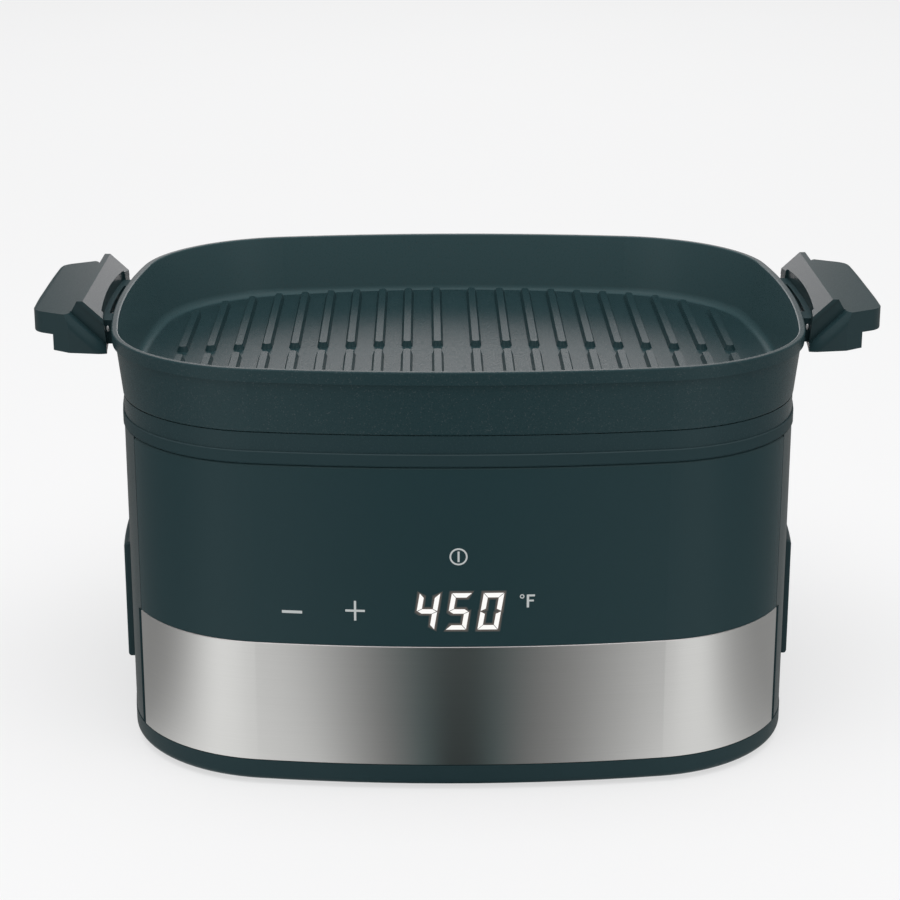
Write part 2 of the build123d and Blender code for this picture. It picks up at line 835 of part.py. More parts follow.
with BuildPart() as outer_housing:
    extrude(plan(body_inset, plinth_top), amount=collar_bottom - plinth_top)
    add(
        front_panel(0, fascia_inset + fascia_thickness + panel_gap, band_top, collar_bottom, 0),
        mode=Mode.SUBTRACT,
    )
    add(
        front_panel(0, band_inset + band_thickness + panel_gap, plinth_top, band_top, 0),
        mode=Mode.SUBTRACT,
    )
    add(side_cavity.part, mode=Mode.SUBTRACT)
    extrude(plan(carrier_inner, plinth_top), amount=collar_bottom - plinth_top, mode=Mode.SUBTRACT)
    for side in (-1, 1):
        near, far = sorted((side * rim_half_width, side * (rim_half_width - cut_over)))
        low, high = (near, -grip_opening_half, grip_opening_low), (far, grip_opening_half, grip_opening_high)
        add(block(low, high), mode=Mode.SUBTRACT)
    vent_opening = block(
        (-vent_half_width - fit_gap, 0, vent_bottom - fit_gap),
        (vent_half_width + fit_gap, rim_half_depth, vent_bottom + vent_height + fit_gap),
    )
    add(vent_opening, mode=Mode.SUBTRACT)
    gland_hole = rod_along_y(gland_x, gland_z, gland_y - gland_length, rim_half_depth, gland_radius)
    add(gland_hole, mode=Mode.SUBTRACT)
    window_half_width = display_half + fit_gap
    window_half_height = display_height / 2 + fit_gap
    window = block(
        (display_x - window_half_width, -rim_half_depth, display_z - window_half_height),
        (display_x + window_half_width, board_face_y, display_z + window_half_height),
    )
    add(window, mode=Mode.SUBTRACT)
    for x, z in touch_places:
        add(rod_along_y(x, z, -rim_half_depth, board_face_y, touch_radius + touch_gap), mode=Mode.SUBTRACT)
    for x, z in boss_board_places:
        add(rod_along_y(x, z, -plan_depth(x, carrier_inner - 1), board_face_y, board_boss_radius))
        depth = -plan_depth(x, carrier_inner)
        add(rod_along_y(x, z, depth, board_face_y + 1, board_screw_radius + thread_gap), mode=Mode.SUBTRACT)
    for x, y in boss_places:
        pilot_top = plinth_top + boss_height - boss_blind_end
        add(disc(x, y, plinth_top, plinth_top + boss_height, boss_radius))
        add(disc(x, y, plinth_top - 1, pilot_top, screw_radius + thread_gap), mode=Mode.SUBTRACT)

# Front fascia and steel band: curved panels between the two seams
with BuildPart() as front_fascia:
    fascia_top = collar_bottom - fascia_top_gap
    add(front_panel(fascia_inset, fascia_thickness, band_top + panel_foot_gap, fascia_top, panel_gap))
    ends = [
        e for e in front_fascia.edges().group_by(Axis.Z)[-1] if e.length < fascia_thickness + 0.5
    ]
    fillet(ends, radius=fascia_corner)
    top_face = front_fascia.faces().sort_by(Axis.Z)[-1]
    chamfer(top_face.edges().sort_by(Axis.Y)[0], length=fascia_bevel)

with BuildPart() as steel_band:
    band_low, band_high = plinth_top + panel_foot_gap, band_top - band_top_gap
    add(front_panel(band_inset, band_thickness, band_low, band_high, band_side_gap))
    levels = steel_band.edges().group_by(Axis.Z)
    outer_edges = [
        e for e in levels[0] + levels[-1] if abs(plan_depth((e @ 0.5).X, band_inset) + (e @ 0.5).Y) < 0.1
    ]
    chamfer(outer_edges, length=band_bevel)


# Side carry grips: a raised frame on each side wall with a finger pocket behind it
def make_grip():
    """The right carry grip."""
    face_x = rim_half_width
    with BuildPart() as body:
        add(ring(body_inset - grip_stand_out, body_inset, grip_bottom, grip_top))
        add(
            block((face_x / 2, -grip_half_length, grip_bottom), (2 * face_x, grip_half_length, grip_top)),
            mode=Mode.INTERSECT,
        )
        outer = body.faces().sort_by(Axis.X)[-1]
        high = outer.edges().sort_by(Axis.Z)[-1]
        fillet(high, radius=grip_top_radius)
        below = grip_top - grip_top_radius - grip_edge_radius / 4
        rest = body.faces().sort_by(Axis.X)[-1].edges().filter_by(lambda e: e.center().Z < below)
        fillet(rest, radius=grip_edge_radius)
        pocket_back = face_x - body_inset + grip_stand_out - grip_pocket_depth
        high_level = grip_pocket_bottom + grip_pocket_height
        cup_half = grip_pocket_half_length + grip_wall
        add(
            block(
                (pocket_back - grip_wall, -cup_half, grip_pocket_bottom - grip_wall),
                (face_x - body_inset + grip_cup_lap, cup_half, high_level + grip_wall),
            )
        )
        with BuildPart(mode=Mode.PRIVATE) as pocket:
            add(
                block(
                    (pocket_back, -grip_pocket_half_length, grip_pocket_bottom),
                    (2 * face_x, grip_pocket_half_length, high_level),
                )
            )
            fillet(pocket.edges().filter_by(Axis.X), radius=grip_pocket_radius)
        add(pocket.part, mode=Mode.SUBTRACT)
    return body.part


with BuildPart() as side_grip_right:
    add(make_grip())

with BuildPart() as side_grip_left:
    add(mirror(side_grip_right.part, about=Plane.YZ))

# Rear vent: a slotted insert that closes the opening in the rear wall from inside
vent_top = vent_bottom + vent_height
flange_bottom = vent_bottom - vent_lap
flange_top = vent_top + vent_lap
with BuildPart() as rear_vent:
    add(ring(body_inset, body_inset + shell_wall, vent_bottom, vent_top))
    low, high = (-vent_half_width, 0, vent_bottom), (vent_half_width, rim_half_depth, vent_top)
    add(block(low, high), mode=Mode.INTERSECT)
    with BuildPart(mode=Mode.PRIVATE) as vent_flange:
        add(ring(body_inset + shell_wall, body_inset + 2 * shell_wall, flange_bottom, flange_top))
        lap_half = vent_half_width + vent_lap
        low, high = (-lap_half, 0, flange_bottom), (lap_half, rim_half_depth, flange_top)
        add(block(low, high), mode=Mode.INTERSECT)
    add(vent_flange.part)
    with BuildSketch(Plane.XZ.offset(-rim_half_depth)) as slot_rows:
        with Locations((0, vent_bottom + vent_height / 2)):
            slot_pitch = 2 * (vent_half_width - vent_slot_side) / (vent_slots - 1)
            with GridLocations(slot_pitch, 0, vent_slots, 1):
                SlotOverall(vent_height - 2 * vent_slot_end, vent_slot_width, rotation=90)
    extrude(slot_rows.sketch, amount=rim_half_depth / 2, mode=Mode.SUBTRACT)

# Cord gland in the rear wall; its bore takes the mains lead
with BuildPart() as cord_gland:
    add(rod_along_y(gland_x, gland_z, gland_y, gland_y + gland_flange, gland_flange_radius))
    shell_side = plan(body_inset, gland_z - 2 * gland_flange_radius)
    extrude(shell_side, amount=4 * gland_flange_radius, mode=Mode.SUBTRACT)
    gland_end = gland_y + gland_flange
    add(rod_along_y(gland_x, gland_z, gland_end - gland_length, gland_end, gland_radius))
    add(
        rod_along_y(gland_x, gland_z, gland_y - gland_length, gland_y + 2 * gland_flange, gland_bore_radius),
        mode=Mode.SUBTRACT,
    )

# Heating deck: a drawn sheet bowl that hangs by its flange in the collar and holds the hot air
deck_bottom = flange_level - deck_depth
deck_floor = deck_bottom + deck_sheet
deck_wall_inset = collar_inner_inset + fit_gap
element_z = deck_floor + element_above_deck
lead_places = [(-element_lead_gap / 2, element_half_depth), (element_lead_gap / 2, element_half_depth)]
bracket_foot_x = bracket_reach + bracket_sheet / 2
deck_screw_x = bracket_foot_x + deck_screw_out
deck_screw_places = [(sx * deck_screw_x, sy * deck_screw_half_pitch) for sx in (-1, 1) for sy in (-1, 1)]
with BuildPart() as heating_deck:
    loft([plan(deck_wall_inset + deck_draft, deck_bottom), plan(deck_wall_inset, flange_level)], ruled=True)
    extrude(plan(deck_flange_inset, flange_level), amount=deck_sheet)
    with BuildPart(mode=Mode.PRIVATE) as deck_hollow:
        top_level = flange_level + deck_sheet
        low_inset = deck_wall_inset + deck_draft + deck_sheet
        loft([plan(low_inset, deck_floor), plan(deck_wall_inset + deck_sheet, top_level)], ruled=True)
        fillet(deck_hollow.faces().sort_by(Axis.Z)[0].edges(), radius=deck_corner_radius)
    add(deck_hollow.part, mode=Mode.SUBTRACT)
    fillet(heating_deck.faces().sort_by(Axis.Z)[0].edges(), radius=deck_corner_radius)
    add(disc(0, 0, deck_bottom - 1, deck_floor + 1, shaft_radius + deck_shaft_gap), mode=Mode.SUBTRACT)
    lead_hole = disc(probe_x, 0, deck_bottom - 1, deck_floor + 1, probe_stem_radius - probe_lead_step)
    add(lead_hole, mode=Mode.SUBTRACT)
    for x, y in lead_places:
        add(disc(x, y, deck_bottom - 1, deck_floor + 1, element_radius + fit_gap), mode=Mode.SUBTRACT)
    for x, y in deck_screw_places:
        add(disc(x, y, deck_bottom - 1, deck_floor + 1, board_screw_radius + thread_gap), mode=Mode.SUBTRACT)

# Insulation pad under the deck, cut out for the shaft, the element's leads, the probe and the bracket
insulation_bottom = deck_bottom - insulation_height
pad_cut = bracket_width / 2 + pad_bracket_gap
with BuildPart() as deck_insulation:
    pad_inset = deck_wall_inset + deck_draft + insulation_margin
    extrude(plan(pad_inset, insulation_bottom), amount=insulation_height)
    low, high = insulation_bottom - 1, deck_bottom + 1
    add(disc(0, 0, low, high, shaft_radius + pad_shaft_gap), mode=Mode.SUBTRACT)
    add(disc(probe_x, 0, low, high, probe_stem_radius + pad_probe_gap), mode=Mode.SUBTRACT)
    add(
        block(
            (-element_lead_gap, element_half_depth - pad_lead_gap, low),
            (element_lead_gap, element_half_depth + pad_lead_gap, high),
        ),
        mode=Mode.SUBTRACT,
    )
    for side in (-1, 1):
        foot_end = bracket_reach + bracket_foot
        near, far = sorted((side * (bracket_reach - pad_bracket_gap), side * (foot_end + pad_bracket_gap)))
        add(block((near, -pad_cut, low), (far, pad_cut, high)), mode=Mode.SUBTRACT)

# Heating element: one sheathed rod in a loop, its two cold ends through the deck at the rear
lead_bottom = insulation_bottom - lead_below_pad
with BuildPart() as heating_element:
    with BuildLine() as element_path:
        half_gap = element_lead_gap / 2
        rear, front = element_half_depth, -element_half_depth
        FilletPolyline(
            (-half_gap, rear, lead_bottom),
            (-half_gap, rear, element_z),
            (-element_half_width, rear, element_z),
            (-element_half_width, front, element_z),
            (element_half_width, front, element_z),
            (element_half_width, rear, element_z),
            (half_gap, rear, element_z),
            (half_gap, rear, lead_bottom),
            radius=[element_drop_bend] + 4 * [element_bend] + [element_drop_bend],
        )
    with BuildSketch(Plane.XY.offset(lead_bottom)):
        with Locations((-half_gap, rear)):
            Circle(element_radius)
    sweep(path=element_path.wire())

# Element clips: five sheet uprights, each notched for the rod
clip_width = 2 * (element_radius + clip_edge)
clip_places = [
    (-element_half_width, 0, 0),
    (element_half_width, 0, 0),
    (0, -element_half_depth, 90),
    (-element_half_width / 2, element_half_depth, 90),
    (element_half_width / 2, element_half_depth, 90),
]
with BuildPart() as element_clips:
    for x, y, turn in clip_places:
        half_x, half_y = clip_width / 2, clip_sheet / 2
        foot_x_half, foot_y_half = clip_width / 2, clip_foot
        if turn:
            half_x, half_y = half_y, half_x
            foot_x_half, foot_y_half = foot_y_half, foot_x_half
        with BuildPart(mode=Mode.PRIVATE) as clip:
            add(block((x - half_x, y - half_y, deck_floor), (x + half_x, y + half_y, element_z)))
            if turn == 0:
                bore = rod_along_y(x, element_z, y - clip_sheet, y + clip_sheet, element_radius)
            else:
                bore = rod_along_x(y, element_z, x - clip_sheet, x + clip_sheet, element_radius)
            add(bore, mode=Mode.SUBTRACT)
            foot_low, foot_high = (x - foot_x_half, y - foot_y_half), (x + foot_x_half, y + foot_y_half)
            add(block((*foot_low, deck_floor), (*foot_high, deck_floor + clip_sheet)))
        add(clip.part)

# Motor under the deck, with a blind bore for its shaft
motor_top = deck_bottom - motor_below_deck
shaft_bottom = motor_top - motor_height + motor_floor
with BuildPart() as fan_motor:
    add(disc(0, 0, motor_top - motor_height, motor_top, motor_radius))
    fillet(fan_motor.edges().filter_by(GeomType.CIRCLE), radius=motor_edge_radius)
    add(disc(0, 0, motor_top - 1, motor_top + motor_nose_height, shaft_radius + motor_nose_wall))
    with PolarLocations(motor_radius - motor_fin_depth, motor_fins):
        with Locations((0, 0, motor_top - motor_height / 2)):
            Box(motor_fin_gap, motor_fin_gap, motor_height + 2, mode=Mode.SUBTRACT)
    shaft_top = motor_top + motor_nose_height + 1
    add(disc(0, 0, shaft_bottom - 1, shaft_top, shaft_radius + sliding_gap), mode=Mode.SUBTRACT)
    for side in (-1, 1):
        pilot_bottom = motor_top - motor_screw_reach - 1
        pilot = disc(side * motor_screw_x, 0, pilot_bottom, motor_top + 1, motor_screw_radius + thread_gap)
        add(pilot, mode=Mode.SUBTRACT)

# Motor bracket: a bridge on the motor's face whose two legs reach up to the deck
with BuildPart() as motor_bracket:
    half = bracket_width / 2
    with BuildSketch(Plane.XZ.offset(-half)):
        with BuildLine():
            reach, sheet = bracket_reach, bracket_sheet
            foot_end = reach + bracket_foot
            Polyline(
                (-foot_end, deck_bottom),
                (-reach, deck_bottom),
                (-reach, motor_top + sheet),
                (reach, motor_top + sheet),
                (reach, deck_bottom),
                (foot_end, deck_bottom),
                (foot_end, deck_bottom - sheet),
                (reach + sheet, deck_bottom - sheet),
                (reach + sheet, motor_top),
                (-reach - sheet, motor_top),
                (-reach - sheet, deck_bottom - sheet),
                (-foot_end, deck_bottom - sheet),
                close=True,
            )
        make_face()
    extrude(amount=bracket_width)
    low, high = motor_top - 1, motor_top + bracket_sheet + 1
    add(disc(0, 0, low, high, shaft_radius + motor_nose_wall + screw_gap), mode=Mode.SUBTRACT)
    for side in (-1, 1):
        add(disc(side * motor_screw_x, 0, low, high, motor_screw_radius + screw_gap), mode=Mode.SUBTRACT)
    low, high = deck_bottom - bracket_sheet - 1, deck_bottom + 1
    for x, y in deck_screw_places:
        add(disc(x, y, low, high, board_screw_radius + screw_gap), mode=Mode.SUBTRACT)

with BuildPart() as motor_screws:
    for side in (-1, 1):
        head = motor_top + bracket_sheet
        add(disc(side * motor_screw_x, 0, head, head + small_head_height, small_head_radius))
        add(disc(side * motor_screw_x, 0, motor_top - motor_screw_reach, head, motor_screw_radius))

with BuildPart() as deck_screws:
    for x, y in deck_screw_places:
        head = deck_bottom - bracket_sheet
        add(disc(x, y, head - small_head_height, head, small_head_radius))
        add(disc(x, y, head, deck_floor + deck_screw_end, board_screw_radius))

# Rotor: the shaft with the hot-air fan above the deck and the cooling fan below it
fan_bottom = deck_floor + fan_above_deck
fan_top = fan_bottom + fan_height
with BuildPart() as motor_shaft:
    add(disc(0, 0, shaft_bottom, fan_top + nut_height, shaft_radius))

with BuildPart() as convection_fan:
    add(disc(0, 0, fan_bottom, fan_bottom + guard_sheet, fan_radius))
    add(disc(0, 0, fan_bottom, fan_top, shaft_radius + fan_hub_wall))
    blade_length = fan_radius - fan_blade_start - fan_blade_end_gap
    with PolarLocations(fan_blade_start + blade_length / 2, fan_blades):
        with Locations(Location((0, 0, fan_bottom + fan_height / 2), (0, 0, blade_tilt))):
            Box(blade_length, fan_blade_sheet, fan_height)
    add(disc(0, 0, fan_bottom - 1, fan_top + 1, shaft_radius), mode=Mode.SUBTRACT)

with BuildPart() as fan_nut:
    with BuildSketch(Plane.XY.offset(fan_top)):
        RegularPolygon(shaft_radius + nut_wall, 6)
        Circle(shaft_radius, mode=Mode.SUBTRACT)
    extrude(amount=nut_height)

cooling_bottom = (motor_top + bracket_sheet + insulation_bottom - cooling_height) / 2 + 1
with BuildPart() as cooling_fan:
    add(disc(0, 0, cooling_bottom, cooling_bottom + cooling_height, shaft_radius + fan_hub_wall))
    blade_start = shaft_radius + cooling_blade_start
    blade_length = cooling_radius - blade_start
    with PolarLocations(blade_start + blade_length / 2, cooling_blades):
        with Locations(Location((0, 0, cooling_bottom + cooling_height / 2), (blade_tilt, 0, 0))):
            Box(blade_length, cooling_blade_chord, cooling_blade_sheet)
    add(disc(0, 0, cooling_bottom - 1, cooling_bottom + cooling_height + 1, shaft_radius), mode=Mode.SUBTRACT)

# Fan guard: a slotted plate over the hot-air fan, on four posts
guard_bottom = fan_top + guard_above_fan
with BuildPart() as fan_guard:
    add(disc(0, 0, guard_bottom, guard_bottom + guard_sheet, guard_radius))
    with BuildSketch(Plane.XY.offset(guard_bottom)) as guard_openings:
        with PolarLocations(guard_slot_place, 2 * guard_slots):
            SlotOverall(guard_slot_length, guard_slot_width)
        with PolarLocations(guard_inner_place, guard_slots):
            SlotOverall(guard_inner_length, guard_inner_width)
    extrude(guard_openings.sketch, amount=guard_sheet, mode=Mode.SUBTRACT)

with BuildPart() as guard_posts:
    leg_height = guard_bottom - deck_floor
    with PolarLocations(guard_leg_place, 4, start_angle=45):
        with Locations((0, 0, deck_floor)):
            Cylinder(guard_leg_radius, leg_height, align=(Align.CENTER, Align.CENTER, Align.MIN))

# Temperature probe: a sprung cap under the pan, sliding in a tube on the deck
holder_top = deck_floor + probe_holder_height
cap_top = seat_top - pan_spigot_depth - fit_gap
cap_bottom = cap_top - probe_cap_height
stem_bottom = holder_top - probe_stem_in_holder
with BuildPart() as probe_holder:
    add(disc(probe_x, 0, deck_floor, holder_top, probe_holder_radius))
    flange_high = deck_floor + probe_holder_flange_height
    add(disc(probe_x, 0, deck_floor, flange_high, probe_holder_radius + probe_holder_flange))
    add(disc(probe_x, 0, deck_floor - 1, holder_top + 1, probe_stem_radius + sliding_gap), mode=Mode.SUBTRACT)

with BuildPart() as temperature_probe:
    add(disc(probe_x, 0, cap_bottom, cap_top, probe_cap_radius))
    fillet(temperature_probe.faces().sort_by(Axis.Z)[-1].edges(), radius=probe_cap_edge)
    add(disc(probe_x, 0, stem_bottom, cap_bottom + 1, probe_stem_radius))

with BuildPart() as probe_spring:
    spring_start = holder_top + spring_wire + spring_end_gap
    spring_rise = cap_bottom - spring_wire - spring_end_gap - spring_start
    with BuildLine() as coil:
        Helix(spring_rise / spring_turns, spring_rise, spring_radius, center=(probe_x, 0, spring_start))
    with BuildSketch(Plane(origin=coil.line @ 0, z_dir=coil.line % 0)):
        Circle(spring_wire)
    sweep(path=coil.line, is_frenet=True)

# Thermal fuse, clipped under the insulation
with BuildPart() as thermal_fuse:
    fuse_z = insulation_bottom - fuse_radius
    add(rod_along_x(fuse_y, fuse_z, -fuse_half_length, fuse_half_length, fuse_radius))
    clip = fuse_clip_half_width
    low = (-clip, fuse_y - clip, insulation_bottom - fuse_clip_height)
    add(block(low, (clip, fuse_y + clip, insulation_bottom)))

# Control board on four bosses behind the carrier, with the display and the touch pads on its face
board_back_y = board_face_y + board_thickness
with BuildPart() as control_board:
    add(block((board_left, board_face_y, board_bottom), (board_right, board_back_y, board_top)))
    for x, z in boss_board_places:
        hole = rod_along_y(x, z, board_face_y - 1, board_back_y + 1, board_screw_radius + screw_gap)
        add(hole, mode=Mode.SUBTRACT)

with BuildPart() as board_screws:
    for x, z in boss_board_places:
        head_y = board_back_y + board_screw_head_height
        add(rod_along_y(x, z, board_back_y, head_y, board_screw_head_radius))
        add(rod_along_y(x, z, board_face_y - board_screw_reach, board_back_y, board_screw_radius))

fascia_inner = fascia_inset + fascia_thickness + fit_gap
with BuildPart() as display_module:
    half_height = display_height / 2
    add(
        block(
            (display_x - display_half, -rim_half_depth, display_z - half_height),
            (display_x + display_half, board_face_y, display_z + half_height),
        )
    )
    extrude(plan(fascia_inner, display_z - display_height), amount=2 * display_height, mode=Mode.INTERSECT)

with BuildPart() as touch_pads:
    for x, z in touch_places:
        with BuildPart(mode=Mode.PRIVATE) as pad:
            add(rod_along_y(x, z, -rim_half_depth, board_face_y, touch_radius))
            extrude(plan(fascia_inner, z - 2 * touch_radius), amount=4 * touch_radius, mode=Mode.INTERSECT)
        add(pad.part)

# Power board on the plinth's standoffs, and what it carries
board_left_x = power_board_x - power_board_width / 2
board_front_y = power_board_y - power_board_depth / 2
parts_level = board_level + board_thickness
with BuildPart() as power_board:
    add(
        block(
            (board_left_x, board_front_y, board_level),
            (board_left_x + power_board_width, board_front_y + power_board_depth, parts_level),
        )
    )
    for x, y in standoff_places:
        add(disc(x, y, board_level - 1, parts_level + 1, board_screw_radius + screw_gap), mode=Mode.SUBTRACT)

with BuildPart() as power_board_screws:
    for x, y in standoff_places:
        add(disc(x, y, parts_level, parts_level + board_screw_head_height, board_screw_head_radius))
        add(disc(x, y, board_level - power_screw_reach, parts_level, board_screw_radius))

with BuildPart() as power_relay:
    low = (board_left_x + relay_place[0], board_front_y + relay_place[1], parts_level)
    add(block(low, [a + b for a, b in zip(low, relay_size)]))
    fillet(power_relay.faces().sort_by(Axis.Z)[-1].edges(), radius=part_edge_radius)

with BuildPart() as filter_capacitor:
    x, y = board_left_x + capacitor_place[0], board_front_y + capacitor_place[1]
    add(disc(x, y, parts_level, parts_level + capacitor_height, capacitor_radius))
    fillet(filter_capacitor.faces().sort_by(Axis.Z)[-1].edges(), radius=part_edge_radius)

with BuildPart() as power_transformer:
    low = (board_left_x + transformer_place[0], board_front_y + transformer_place[1], parts_level)
    high = [a + b for a, b in zip(low, transformer_core)]
    add(block(low, high))
    coil_low = (low[0] + transformer_coil_edge, low[1], high[2])
    add(block(coil_low, (high[0] - transformer_coil_edge, high[1], high[2] + transformer_coil_height)))

with BuildPart() as board_heat_sink:
    x, y = board_left_x + sink_place[0], board_front_y + sink_place[1]
    fin_level = parts_level + sink_base
    add(block((x, y, parts_level), (x + sink_width, y + sink_depth, fin_level)))
    for fin in range(sink_fins):
        start = x + fin * (sink_width - sink_fin_width) / (sink_fins - 1)
        end = (start + sink_fin_width, y + sink_depth, parts_level + sink_height)
        add(block((start, y, fin_level), end))

# Terminal block on the plinth's floor, beside the gland
with BuildPart() as terminal_block:
    x, back = gland_x - terminal_from_gland, gland_end - gland_length - terminal_behind_gland
    low = (x - terminal_half_width, back - terminal_depth, plinth_floor)
    add(block(low, (x + terminal_half_width, back, plinth_floor + terminal_height)))
    bore_z = plinth_floor + terminal_bore_rise
    for slot in (-terminal_bore_pitch, 0, terminal_bore_pitch):
        bore = rod_along_y(x + slot, bore_z, low[1] - 1, back + 1, terminal_bore_radius)
        add(bore, mode=Mode.SUBTRACT)

pieces = {
    "grill_pan": grill_pan,
    "pan_handle_right": pan_handle_right,
    "pan_handle_left": pan_handle_left,
    "handle_bracket_right": handle_bracket_right,
    "handle_bracket_left": handle_bracket_left,
    "handle_screws": handle_screws,
    "pan_seat_ring": pan_seat_ring,
    "top_collar": top_collar,
    "outer_housing": outer_housing,
    "front_fascia": front_fascia,
    "steel_band": steel_band,
    "base_plinth": base_plinth,
    "rubber_feet": rubber_feet,
    "housing_screws": housing_screws,
    "side_grip_right": side_grip_right,
    "side_grip_left": side_grip_left,
    "rear_vent": rear_vent,
    "cord_gland": cord_gland,
    "heating_deck": heating_deck,
    "deck_insulation": deck_insulation,
    "heating_element": heating_element,
    "element_clips": element_clips,
    "fan_guard": fan_guard,
    "guard_posts": guard_posts,
    "fan_motor": fan_motor,
    "motor_bracket": motor_bracket,
    "motor_screws": motor_screws,
    "deck_screws": deck_screws,
    "motor_shaft": motor_shaft,
    "convection_fan": convection_fan,
    "fan_nut": fan_nut,
    "cooling_fan": cooling_fan,
    "probe_holder": probe_holder,
    "temperature_probe": temperature_probe,
    "probe_spring": probe_spring,
    "thermal_fuse": thermal_fuse,
    "control_board": control_board,
    "display_module": display_module,
    "touch_pads": touch_pads,
    "board_screws": board_screws,
    "power_board": power_board,
    "power_board_screws": power_board_screws,
    "power_relay": power_relay,
    "filter_capacitor": filter_capacitor,
    "power_transformer": power_transformer,
    "board_heat_sink": board_heat_sink,
    "terminal_block": terminal_block,
}
for name, piece in pieces.items():
    piece.part.label = name
    export_step(piece.part, f"parts/{name}.step")
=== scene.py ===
# Scene of the countertop grill: finishes, lit front signs, rivets, dark strips of painted shade by the band,
# floor, soft light and camera.
# Metres, in the frame of the imported model.
import json
from math import cos, pi, sin, sqrt

import bmesh
import bpy
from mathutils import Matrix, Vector


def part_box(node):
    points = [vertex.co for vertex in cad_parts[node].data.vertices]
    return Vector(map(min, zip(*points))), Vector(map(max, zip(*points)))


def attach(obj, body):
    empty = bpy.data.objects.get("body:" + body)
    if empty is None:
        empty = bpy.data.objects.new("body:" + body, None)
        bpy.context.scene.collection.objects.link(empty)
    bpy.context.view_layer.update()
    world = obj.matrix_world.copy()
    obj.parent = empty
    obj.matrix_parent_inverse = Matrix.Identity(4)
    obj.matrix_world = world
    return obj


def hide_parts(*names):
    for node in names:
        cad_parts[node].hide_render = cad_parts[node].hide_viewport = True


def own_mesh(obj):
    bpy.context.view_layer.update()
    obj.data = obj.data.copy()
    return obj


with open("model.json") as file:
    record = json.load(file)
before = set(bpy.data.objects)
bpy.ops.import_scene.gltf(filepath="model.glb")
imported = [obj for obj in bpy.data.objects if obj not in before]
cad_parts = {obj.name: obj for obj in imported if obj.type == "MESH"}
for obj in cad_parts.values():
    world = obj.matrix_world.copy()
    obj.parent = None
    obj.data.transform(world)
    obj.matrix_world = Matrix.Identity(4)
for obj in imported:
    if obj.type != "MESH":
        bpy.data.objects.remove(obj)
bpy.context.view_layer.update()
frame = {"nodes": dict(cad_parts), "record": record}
nodes = frame["nodes"]
MM = 0.001


# Material tools
def blank(name):
    """A new node material, with its tree and its main shader."""
    mat = bpy.data.materials.new(name)
    mat.use_nodes = True
    tree = mat.node_tree
    return mat, tree, tree.nodes["Principled BSDF"]


def bare(name):
    """A new node material without a shader, with its tree and the socket that takes one."""
    mat, tree, shader = blank(name)
    tree.nodes.remove(shader)
    return mat, tree, tree.nodes["Material Output"].inputs["Surface"]


def add_node(tree, kind, **values):
    """A node with its properties and unlinked inputs set by name."""
    node = tree.nodes.new(kind)
    for key, value in values.items():
        if hasattr(node, key):
            setattr(node, key, value)
        else:
            node.inputs[key.replace("_", " ")].default_value = value
    return node


def object_place(tree, stretch=(1.0, 1.0, 1.0)):
    """Object coordinates, stretched per axis."""
    place = add_node(tree, "ShaderNodeTexCoord")
    mapping = add_node(tree, "ShaderNodeMapping", vector_type="POINT")
    mapping.inputs["Scale"].default_value = stretch
    tree.links.new(place.outputs["Object"], mapping.inputs["Vector"])
    return mapping.outputs["Vector"]


def noise(tree, place, scale, detail=3.0, roughness=0.5):
    """A noise texture's factor."""
    tex = add_node(tree, "ShaderNodeTexNoise", Scale=scale, Detail=detail, Roughness=roughness)
    tree.links.new(place, tex.inputs["Vector"])
    return tex.outputs["Fac"]


def split_axes(tree, vector):
    """The X, Y and Z outputs of a vector."""
    axes = add_node(tree, "ShaderNodeSeparateXYZ")
    tree.links.new(vector, axes.inputs[0])
    return axes.outputs


def remap(tree, value, low, high, start=0.3, end=0.7):
    """Low where the value is at start, high where it is at end, and between them in step."""
    node = add_node(tree, "ShaderNodeMapRange")
    for name, number in (("From Min", start), ("From Max", end), ("To Min", low), ("To Max", high)):
        node.inputs[name].default_value = number
    tree.links.new(value, node.inputs["Value"])
    return node.outputs["Result"]


def maths(tree, operation, first, second=None):
    """A maths node on one or two links or numbers."""
    node = add_node(tree, "ShaderNodeMath", operation=operation)
    for place, value in enumerate((first, second)):
        if isinstance(value, (int, float)):
            node.inputs[place].default_value = value
        elif value is not None:
            tree.links.new(value, node.inputs[place])
    return node.outputs[0]


def seen_rays(tree):
    """1 for what the camera sees, straight, mirrored or through glass, and 0 for light on its way."""
    path = add_node(tree, "ShaderNodeLightPath")
    seen = maths(tree, "ADD", path.outputs["Is Camera Ray"], path.outputs["Is Glossy Ray"])
    return maths(tree, "ADD", seen, path.outputs["Is Transmission Ray"])


def blend(tree, factor, first, second):
    """Two colours or links mixed by a factor."""
    node = add_node(tree, "ShaderNodeMix", data_type="RGBA")
    for place, value in ((6, first), (7, second)):
        if isinstance(value, tuple):
            node.inputs[place].default_value = (*value, 1.0)
        else:
            tree.links.new(value, node.inputs[place])
    tree.links.new(factor, node.inputs[0])
    return node.outputs[2]


def raise_by(tree, shader, height, strength, distance, under=None):
    """A bump from a height, on top of another bump if one is given."""
    bump = add_node(tree, "ShaderNodeBump", Strength=strength, Distance=distance)
    tree.links.new(height, bump.inputs["Height"])
    if under is not None:
        tree.links.new(under, bump.inputs["Normal"])
    tree.links.new(bump.outputs["Normal"], shader.inputs["Normal"])
    return bump.outputs["Normal"]
